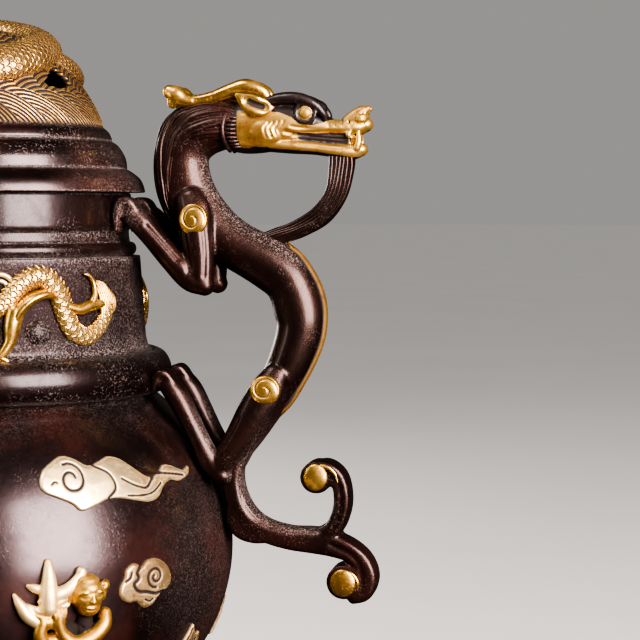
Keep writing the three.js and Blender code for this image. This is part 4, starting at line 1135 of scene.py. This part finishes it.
# gilt line down the outside of the back
spineLook = {**goldLook, "bright": (0.50, 0.29, 0.08, 1), "deep": (0.15, 0.065, 0.02, 1),
             "worn": 0.65, "rough": 0.4}
spineSkin = gilding("worn gilding of the back", spineLook)
bm = bmesh.new()
ridge = []
for x, z in ((150.0, 294.8), (155.6, 288.6), (161.2, 281.2), (165.4, 273), (167.6, 264),
             (167.4, 254), (165.5, 245.5), (161.4, 236), (156.2, 226.5), (150.8, 218),
             (145.4, 210.4)):
    ridge.append((x - 0.6, 0, z, 1.8, 4.6))
ridge[0] = (*ridge[0][:3], 0.4, 1)
ridge[-1] = (*ridge[-1][:3], 0.4, 1)
sweep(bm, ridge, 90, 14)
spine = toMesh("spine", bm)
markHollows(spine, 3, 0.4)
rideHandle("gilt_spine", spine, spineSkin, [])
print("handle ready")


# reliefs on the collar and on the bowl
collar = {"foot": 248, "rise": 40.2, "radius": 76.7, "topRadius": 74}


def neckRadius(height):
    share = (collar["topRadius"] - collar["radius"]) * (height - collar["foot"]) / collar["rise"]
    return collar["radius"] + share


def aroundNeck(azimuth, height, lift=0.0):
    # a place on the neck, in degrees from the front and millimetres up, lifted off its wall
    turn = math.radians(azimuth)
    radius = neckRadius(height) + lift
    return radius * math.sin(turn), -radius * math.cos(turn), height


def rideReliefs(name, mesh, material, part):
    # one relief, its mirror image, and both turned half round to the back
    for place, turn in (("front", Matrix.Identity(4)), ("back", turnBack)):
        for letter, flip in (("a", Matrix.Identity(4)), ("b", flipHand)):
            ready = mirrored(mesh, turn @ flip)
            nodes = [f"{place}_{part}_{letter}"] if part else []
            addPiece(f"{place}_{name}_{letter}", ready, material, "vessel", nodes)


def plate(outline, azimuth, height, lines, rise):
    # flat cloud cut to its outline, cut into small cells, pressed round the bowl and engraved
    cell = 0.42
    loop = smoothLoop(outline, 200)
    bm = bmesh.new()
    bm.faces.new([bm.verts.new((a, b, 0)) for a, b in loop])
    low, high = loop.min(axis=0), loop.max(axis=0)
    for axis, way in ((0, (1, 0, 0)), (1, (0, 1, 0))):
        for level in np.arange(low[axis] + cell, high[axis], cell):
            spot = (level, 0, 0) if axis == 0 else (0, level, 0)
            bmesh.ops.bisect_plane(bm, geom=bm.verts[:] + bm.edges[:] + bm.faces[:], plane_co=spot,
                                   plane_no=way, dist=0.0001)
    mesh = toMesh("plate", bm)
    flat = readCoords(mesh)
    border = np.hstack([np.vstack([loop, loop[:1]]), np.zeros((len(loop) + 1, 1))])
    inside = nearPath(flat, border)
    lift = -0.5 + (rise + 0.5) * np.clip(1 - (1 - np.clip(inside / 1.6, 0, 1)) ** 2.4, 0, 1)
    lift += 0.35 * np.clip(inside / 8, 0, 1)
    mark = np.zeros(len(flat))
    for path, width, depth in lines:
        path3 = smoothRows(np.hstack([np.array(path, float), np.zeros((len(path), 1))]),
                           len(path) * 6)
        near = nearPath(flat, path3)
        press = np.exp(-(near / width) ** 2)
        lift -= depth * press * np.clip(inside / 0.8, 0, 1)
        mark = np.maximum(mark, np.clip(1.8 * np.exp(-(near / (width * 1.3)) ** 2), 0, 1))
    base = bowlRadius(height)
    turn = math.radians(azimuth) + flat[:, 0] / base
    level = height + flat[:, 1]
    radius = bowlRadius(level) + lift
    writeCoords(mesh, np.stack([radius * np.sin(turn), -radius * np.cos(turn), level], axis=1))
    setValues(mesh, "ink_and_shade", np.maximum(mark, ramp(-inside, -0.95, -0.35)))
    markHollows(mesh, 3, 0.5)
    return mesh


def spiral(centre, start, end, turns, phase):
    points = []
    for t in np.linspace(0, 1, 24):
        angle = phase + turns * 2 * math.pi * t
        radius = start + (end - start) * t
        points.append((centre[0] + radius * math.cos(angle), centre[1] + radius * math.sin(angle)))
    return points


longCloud = [(-43, 3), (-41, 8), (-36, 11.6), (-30, 14), (-24, 12.5), (-18, 9.4), (-12, 10.5),
             (-6, 12.2), (0, 11), (6, 7), (12, 2.4), (17, 1.6), (22, 3.6), (26, 5.6), (31, 5),
             (36, 3.2), (40, 1.8), (46.4, 3), (42.6, -1), (37.6, -2.4), (32, -3), (27, -1.8),
             (21, -3.8), (15, -8.2), (9, -9.4), (2, -8), (-5, -6.4), (-12, -6), (-18, -8),
             (-25.4, -9.8), (-29.6, -6.4), (-35, -3.8), (-41, -1)]
longLines = [(spiral((-28, 4), 2.2, 6.8, 1.25, 0.4), 0.55, 0.7),
             ([(-16, 9), (-9, 5), (-7.5, -1), (-12, -5)], 0.55, 0.6),
             ([(-3, 2.4), (3, -1), (9, -2.6), (14, 0.4), (19, 2.4), (25, 1.8), (31, 0.8),
               (37, -0.4)], 0.55, 0.6),
             ([(-2, -5), (5, -5.6), (12, -5), (19, -1.6)], 0.45, 0.4),
             ([(-37.4, 2.4), (-36, 3.4), (-34.8, 3)], 0.4, 0.5)]
rideReliefs("cloud_long", plate(longCloud, 53.5, 187, longLines, 1.7), paleSkin, "long_cloud")
smallCloud = [(-15, -5), (-14.6, -1), (-12.4, 2.6), (-11.6, 6), (-8, 8.6), (-4.4, 8.4), (-2.6, 7),
              (0, 9.2), (4.6, 9.8), (9, 8.4), (12.6, 5.6), (15, 1.8), (15.4, -2.4), (13, -5.6),
              (10.4, -6.8), (7.6, -8.6), (4.4, -12), (0, -13.2), (-3.6, -11), (-5.6, -9.4),
              (-9, -9.6), (-12.6, -8)]
smallLines = [(spiral((4.6, 1.2), 1.2, 5, 1.35, 2.6), 0.6, 0.9),
              ([(-3, 7.4), (-5.6, 4.4), (-5, 1.6), (-7.4, -0.8), (-5, -4.2), (0, -5.2), (5, -6.6),
                (10, -6)], 0.7, 1.0),
              ([(-11.6, 1), (-9.4, 2.4), (-8.6, 4.6)], 0.5, 0.6),
              ([(-1, -8.4), (1.4, -9.6), (3.4, -8.8)], 0.5, 0.6)]
rideReliefs("cloud_small", plate(smallCloud, 54.5, 144, smallLines, 1.9), dullSkin, "small_cloud")
rockShape = [(-16, -9), (-13, -3), (-9, 0), (-6, -1.6), (-4, -2), (-1, 4), (2, 9), (5, 6), (8, 3),
             (11, 3.6), (13, 1), (16, -4), (18, -8), (11, -10), (4, -12), (-6, -11)]
rockLines = [([(-12, -6), (-8, -3), (-5, -6)], 0.6, 0.7), ([(-3, -8), (1, 2), (2, 6)], 0.6, 0.7),
             ([(3, -9), (7, -1), (9, 0)], 0.6, 0.7), ([(8, -8), (12, -2), (14, -5)], 0.6, 0.7)]
rideReliefs("rock_group", plate(rockShape, 72, 108, rockLines, 1.7), dullSkin, "rocks")
print("clouds ready")

# dragon that chases the pearl round the neck
dragonWay = [(13, 262, 4.4), (19, 263, 3.9), (25, 268, 4.3), (31, 276.5, 4.8), (38, 279.4, 4.9),
             (43.5, 273, 4.9), (46, 263.5, 4.7), (49, 255, 4.4), (55, 251.8, 4.1), (61, 256.3, 3.7),
             (65, 263.5, 3.6), (67, 270, 2.4)]
bm = bmesh.new()
sweep(bm, [(*aroundNeck(a, h, 0.7), half, half * 0.78) for a, h, half in dragonWay], 230, 52,
      wide=radialWay)
neckDragon = toMesh("neck_dragon", bm)
markHollows(neckDragon, 8, 0.8)
embossScales(neckDragon, dragonPattern)
rideReliefs("dragon_coil", neckDragon, scaleSkin, "neck_dragon")

# its tail flames, legs, back spines, head and wing
bm = bmesh.new()
for k in range(9):
    foot, top = 254.5 + 0.9 * k, 277.5 - 0.16 * (k - 3) ** 2
    azimuth = 60.4 + 0.82 * k
    rows = [(azimuth, foot, 1.4, 0.8), (azimuth + 1, foot + 0.33 * (top - foot), 2.2, 0.95),
            (azimuth + 1, foot + 0.66 * (top - foot), 2, 0.9), (azimuth - 0.4, top - 1.5, 1.4, 0.6),
            (azimuth - 1.4, top, 0.6, 0.2)]
    sweep(bm, [(*aroundNeck(a, h, lift), half, half) for a, h, lift, half in rows], 26, 10,
          wide=radialWay)
limbs = [[(57.5, 267, 2.0), (59, 271, 1.5), (58.6, 276.5, 1.2), (56.6, 280, 1), (54.8, 280.6, 0.5)],
         [(28.5, 264, 4.2), (27.4, 258, 4), (26.6, 251, 2.8), (24.4, 246, 2.2), (22.4, 243.6, 1.8)],
         [(47, 266, 2.4), (52, 264.4, 2.6), (56.5, 266, 2.6), (61, 266.5, 2.4)],
         [(22.6, 243.8, 1.4), (20, 242.4, 1.1), (18.6, 239.8, 0.5)],
         [(22.6, 243.8, 1.4), (22.6, 240.4, 1.1), (22, 238, 0.5)],
         [(23, 243.8, 1.4), (25.6, 242, 1.1), (26.8, 239.4, 0.5)],
         [(11, 270, 2.2), (9, 275, 1.6), (10, 279.5, 0.9)],
         [(8, 268, 1.6), (5.6, 272, 1), (5, 276, 0.4)]]
for rows in limbs:
    sweep(bm, [(*aroundNeck(a, h, 1.6), half, half) for a, h, half in rows], 24, 12, wide=radialWay)
wayRows = smoothRows([(*aroundNeck(a, h, 0.7), half, half) for a, h, half in dragonWay], 170)
for k in range(44):
    i = 3 + int(k * 3.5)
    way = unit(wayRows[i + 1, :3] - wayRows[i - 1, :3])
    out = radialWay(wayRows[i:i + 1, :3])[0]
    side = np.cross(out, way)
    start = wayRows[i, :3] + side * (wayRows[i, 3] - 0.7) + out * 0.9
    tip = start + side * 1.3 - way * 1.5
    sweep(bm, [(*start, 0.9, 0.8), (*tip, 0.3, 0.3)], 5, 8, wide=radialWay)
for spot, size in (((8.6, 264.6), (4.6, 4.6, 4.2)), ((5.4, 262.6), (3.2, 3.2, 2.4)),
                   ((11, 267), (3.6, 3.6, 3))):
    ball(bm, aroundNeck(*spot, 1.5), size, segments=18)
sweep(bm, [(*aroundNeck(43, 270, 1), 1.6, 2.6), (*aroundNeck(39, 272, 1.4), 2.4, 5.4),
           (*aroundNeck(34, 270, 1.6), 2.8, 6.4), (*aroundNeck(30, 265, 1.6), 2.8, 5.4),
           (*aroundNeck(27.6, 259, 1.4), 2.4, 3.8)], 34, 18, wide=radialWay)
bmesh.ops.recalc_face_normals(bm, faces=bm.faces[:])
trim = toMesh("neck_trim", bm)
markHollows(trim, 3, 0.4)
rideReliefs("dragon_trim", trim, goldSkin, None)

# dark boss under the dragon, ring cloud over it, flaming pearl
bm = bmesh.new()
ball(bm, aroundNeck(36.5, 254, -6.6), (9, 9, 8.4), segments=40)
boss = toMesh("boss", bm)
setValues(boss, "matte", np.full(len(boss.vertices), 0.7))
setValues(boss, "dust", np.full(len(boss.vertices), 0.6))
rideReliefs("dark_boss", boss, neckSkin, None)

bm = bmesh.new()
for radius, thick in ((6.6, 1.1), (3.6, 1.0)):
    rows = []
    for t in np.linspace(0, 2 * math.pi, 17):
        azimuth = 23.4 + math.degrees(radius * math.cos(t) / 75)
        rows.append((*aroundNeck(azimuth, 274.6 + radius * math.sin(t), 0.8), thick, 0.9))
    sweep(bm, rows, 60, 10, wide=radialWay)
ringCloud = toMesh("ring_cloud", bm)
markHollows(ringCloud, 3, 0.4)
rideReliefs("ring_cloud", ringCloud, paleSkin, None)

bm = bmesh.new()
ball(bm, aroundNeck(0, 266, 0.6), (5.3, 3.8, 5.3), segments=32)
# reach outward, reach upward, sway, lift, half depth, half width of each row of a flame
flame = [(5, 5, 0, 0.8, 1.4, 1.2), (8, 8.4, 0.2, 0.8, 1, 0.9), (9, 11, 0.5, 0.4, 0.3, 0.3)]
for k in range(7):
    turn = math.radians(90 + (k - 3) * 42)
    rows = []
    for out, rise, sway, lift, deep, width in flame:
        azimuth = math.degrees(out * math.cos(turn + sway) / 76)
        spot = aroundNeck(azimuth, 266 + rise * math.sin(turn + sway), lift)
        rows.append((*spot, deep, width))
    sweep(bm, rows, 12, 8, wide=radialWay)
pearl = toMesh("pearl", bm)
markHollows(pearl, 3, 0.4)
for place, turn in (("front", Matrix.Identity(4)), ("back", turnBack)):
    addPiece(f"{place}_pearl_flame", mirrored(pearl, turn), goldSkin, "vessel", [f"{place}_pearl"])

# kneeling bearer with a dish of coral, drawn on the bowl round this place
bearerSpot = {"turn": math.radians(38), "height": 137}
bm = bmesh.new()


def onBowl(across, up, lift):
    # millimetres across and up on the bowl's skin from the middle of the bearer
    height = bearerSpot["height"] + up
    turn = bearerSpot["turn"] + across / float(bowlRadius(height))
    radius = float(bowlRadius(height)) + lift
    return radius * math.sin(turn), -radius * math.cos(turn), height


def limb(rows, sides=16):
    sweep(bm, [(*onBowl(across, up, lift), depth, width) for across, up, lift, depth,
               width in rows],
          len(rows) * 7, sides, wide=radialWay)


headUp = 2.8  # the head sits this far above the place its forms are drawn at


def faceBall(across, up, lift, radii, segments=20):
    ball(bm, onBowl(across, up + headUp, lift), radii, segments=segments)


def faceLimb(rows):
    limb([(across, up + headUp, lift, depth, width) for across, up, lift, depth, width in rows])


faceBall(3, 2.4, 2.6, (7.6, 7.6, 8), 28)
faceBall(3.2, -2.4, 3.7, (5.6, 5.6, 5.2), 24)
faceBall(3.2, 5.2, 4.6, (5.8, 5.8, 4.2), 24)
faceLimb([(3.2, 3.2, 9.6, 0.7, 0.7), (3.2, 1.4, 10.3, 0.9, 0.9), (3.2, 0.1, 10.6, 1.3, 1.1)])
faceLimb([(1, -2.7, 8.6, 0.6, 0.6), (3.2, -3, 9.2, 0.7, 0.7), (5.4, -2.7, 8.4, 0.6, 0.6)])
for across in (-4.2, 10.4):
    faceBall(across, 1.2, 3.2, (1.5, 1.5, 2.4), 12)
for across, turned in ((-0.2, 1), (6.6, -1)):
    faceLimb([(across - 2, 3.6, 8 if turned > 0 else 9.2, 0.5, 0.6), (across, 4.2, 9.4, 0.6, 0.7),
              (across + 2, 3.6, 9.2 if turned > 0 else 8, 0.5, 0.6)])
    faceBall(across, 2.1, 7.6, (1.7, 1.7, 1.1), 12)
faceBall(3, 7.4, 3, (5.8, 5.8, 4))
limb([(9, 6.4, 2, 2, 2), (11.6, 8, 2.2, 2.4, 2.2), (12.6, 9, 1.6, 1.8, 1.6)])
faceBall(11.2, 2.6, 2, (1.7, 1.7, 1.7), 12)
limb([(3, -6, 1, 3.6, 4), (2.6, -12, 1, 4.8, 6.4), (2.6, -20, 1, 7.4, 7), (3, -30, 0.4, 9.6, 6.6),
      (4, -39, -0.5, 9, 4)])
limb([(11.4, -4.5, 3.4, 3, 3.2), (9.6, -9, 6, 3.6, 3.8), (4, -14, 7.2, 3.6, 3.8),
      (-3, -15.4, 7, 3.2, 3.4), (-8, -11.4, 6, 2.8, 3), (-9.8, -6.6, 5.6, 2.5, 2.8),
      (-9.8, -4.4, 5, 2.2, 3)])
for k in range(4):
    limb([(-11.4 + 1.1 * k, -5, 5.6, 1, 1.1), (-12.2 + 1.6 * k, -2, 6, 0.9, 1),
          (-12.4 + 1.8 * k, 0.6, 5, 0.7, 0.8)])
limb([(-5, -10, 2, 4, 4.2), (-14, -16, 4, 4, 4.2), (-17.4, -11, 4.6, 3.2, 3.4),
      (-16.4, -6, 4.4, 2.6, 2.8)])
for k in range(4):
    limb([(-16.6 + 1.5 * k, -8, 5.4, 0.9, 1), (-17.2 + 1.6 * k, -5.4, 5.6, 0.9, 1),
          (-17.2 + 1.6 * k, -3.4, 4.6, 0.6, 0.7)], 8)
limb([(-24, 1, 1.2, 1.4, 1.6), (-20.6, -1.8, 2, 2.2, 2.8), (-15, -3.6, 2.6, 2.6, 3.4),
      (-9.6, -2, 2, 2.2, 2.8), (-5.6, 1, 1.2, 1.2, 1.4)])
limb([(8, -30, 1, 7, 5), (13, -36, 1, 6, 4.4), (12, -41, 0, 5, 3)])
limb([(-3, -30, 1.4, 6, 5), (-10, -35, 1.6, 5, 4.4), (-12, -41, 0.4, 4, 3)])
bearer = fuse("bearer", bm, 0.42, 5)
features = [([(-2, 4.8, 8.8), (-0.2, 4.4, 9.2), (1.4, 4.8, 9.4)], 0.45, 0.5),
            ([(5, 4.8, 9.4), (6.6, 4.4, 9.2), (8.2, 4.8, 8.4)], 0.45, 0.5),
            ([(1.2, -1, 8.8), (3.2, -1.3, 9.3), (5.2, -1, 8.6)], 0.4, 0.45),
            ([(-4.6, 8.2, 5), (-1.6, 11.4, 6.2), (3.2, 12.4, 6.4), (8, 11.4, 5.4), (10.6, 8.2, 4)],
             0.6, 0.6),
            ([(-3, -8, 4.4), (3, -10, 5.6), (9, -8, 4.2)], 0.7, 0.8),
            ([(2.4, -11, 6.6), (2.4, -20, 7.6), (3, -30, 7)], 0.5, 0.6),
            ([(-5, -23, 6), (3, -25, 7.6), (11, -23, 5.6)], 0.6, 0.8),
            ([(-6, -27, 6), (3, -29, 7.4), (12, -27, 5.4)], 0.5, 0.5),
            ([(-22, -0.4, 3.4), (-14, -1.8, 5.6), (-7, 0.2, 4)], 0.5, 0.7)]
ink = np.zeros(len(bearer.vertices))
for path, width, depth in features:
    ink = np.maximum(ink, carve(bearer, [onBowl(*spot) for spot in path], width, depth,
                                bothSides=False) * 0.75)
markHollows(bearer, 10, 0.36)
coords = readCoords(bearer)
turn = np.arctan2(coords[:, 0], -coords[:, 1])
across = (turn - bearerSpot["turn"]) * bowlRadius(coords[:, 2])
up = coords[:, 2] - bearerSpot["height"]
proud = np.hypot(coords[:, 0], coords[:, 1]) - bowlRadius(coords[:, 2])
vest = ramp(-np.hypot((across - 1.5) / 11, (up + 11) / 8), -1.05, -0.85) * ramp(-proud, -7.6, -6.4)
setValues(bearer, "ink_and_shade", np.maximum(vest, ink))
print("bearer", len(bearer.polygons))
rideReliefs("bearer_figure", bearer, softSkin, "bearer")

# coral
bm = bmesh.new()
for rows in ([(-14, 1, 3, 4.4, 5.4), (-14, 6.4, 3.2, 4.2, 4.8), (-13.8, 12, 2.8, 3.4, 3.7),
              (-13.6, 16.6, 2.2, 2.6, 2.7), (-13.4, 20, 1.2, 1.8, 1.9)],
             [(-11.4, 6, 3, 3.4, 3.6), (-7, 7.2, 2.8, 3, 3), (-3, 9.8, 2.4, 2.6, 2.4),
              (0.2, 13.2, 2, 2.3, 2.2), (1, 14.8, 1.8, 2.5, 2.5)],
             [(-16, 8, 2.2, 2, 2), (-20, 9.4, 1.6, 2, 1.6), (-22.6, 10.4, 0.8, 1, 0.9)],
             [(-28.4, 6.6, 0.8, 1, 1), (-26, 2.4, 1.8, 2.4, 2.6), (-22.6, -2.4, 2.4, 3.2, 3.6),
              (-18, -6, 2.6, 3, 3.2)],
             [(-23, 1.6, 1.8, 1.4, 1.4), (-17, -0.8, 3.8, 1.9, 1.9), (-11, -1, 4, 1.9, 1.9),
              (-5.4, 1.2, 2.4, 1.2, 1.4)],
             [(-18, 3.8, 4.2, 1.1, 1.2), (-12, 2.5, 5.4, 1.5, 1.5), (-6.6, 3.6, 3.4, 1.1, 1.2)]):
    limb(rows, 14)
coral = fuse("coral", bm, 0.5, 2)
markHollows(coral, 8, 0.4)
rideReliefs("coral_branch", coral, coralSkin, None)
print("reliefs ready")

# the pins keep their CAD solids
for name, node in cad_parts.items():
    if "_pin_" in name:
        node.material_slots[0].material = copperSkin

# floor, light and camera
bm = bmesh.new()
bmesh.ops.create_circle(bm, cap_ends=True, segments=96, radius=40)
floorMaterial, tree, place = newMaterial("pale floor")
tone = blendColour(tree, noise(tree, place, 3.0), (0.46, 0.445, 0.43, 1), (0.50, 0.485, 0.47, 1))
finishMaterial(tree, noise(tree, place, 300.0), 0.02, 0.0002,
               {"Base Color": tone, "Roughness": 0.8, "Emission Color": tone,
                "Emission Strength": 0.57})
floorMesh = toMesh("floor", bm)
floorMesh.materials.append(floorMaterial)
floor = bpy.data.objects.new("floor", floorMesh)
bpy.context.scene.collection.objects.link(floor)

world = bpy.data.worlds.new("studio")
bpy.context.scene.world = world
world.use_nodes = True
tree = world.node_tree
tree.nodes.clear()
seen = addNode(tree, "ShaderNodeLightPath").outputs["Is Camera Ray"]
around = addNode(tree, "ShaderNodeBackground", {"Color": (0.62, 0.56, 0.52, 1), "Strength": 0.07})
behind = addNode(tree, "ShaderNodeBackground", {"Color": (0.63, 0.61, 0.59, 1), "Strength": 0.45})
both = addNode(tree, "ShaderNodeMixShader", {0: seen, 1: around.outputs[0], 2: behind.outputs[0]})
addNode(tree, "ShaderNodeOutputWorld", {"Surface": both.outputs[0]})


def softbox(name, spot, target, width, height, power, colour=(1, 1, 1)):
    light = bpy.data.lights.new(name, "AREA")
    light.shape = "RECTANGLE"
    light.size, light.size_y = width, height
    light.energy = power
    light.color = colour
    lamp = bpy.data.objects.new(name, light)
    lamp.location = spot
    lamp.rotation_euler = (Vector(target) - Vector(spot)).to_track_quat("-Z", "Y").to_euler()
    bpy.context.scene.collection.objects.link(lamp)


softbox("key_softbox", (0.96, -0.82, 0.59), (0, 0, 0.24), 0.8, 1.0, 74, (1.0, 0.86, 0.84))
softbox("top_softbox", (-0.30, -0.45, 1.20), (0, 0, 0.3), 0.5, 0.4, 7, (1.0, 0.96, 0.93))
softbox("left_softbox", (-1.0, -0.7, 0.55), (0, 0, 0.25), 0.3, 0.9, 5)
softbox("back_softbox", (-1.15, 0.95, 0.42), (0, 0, 0.2), 0.9, 0.8, 20, (1.0, 0.95, 0.9))
floor.visible_glossy = False
floor.visible_diffuse = False

bpy.context.scene.view_settings.look = "AgX - High Contrast"
view = bpy.data.cameras.new("camera")
view.lens = 102.94
view.sensor_width = 36
camera = bpy.data.objects.new("camera", view)
camera.location = (0.3129, -0.8598, 0.310)
camera.rotation_euler = (math.radians(86.579), 0, math.radians(9.747))
bpy.context.scene.collection.objects.link(camera)
bpy.context.scene.camera = camera
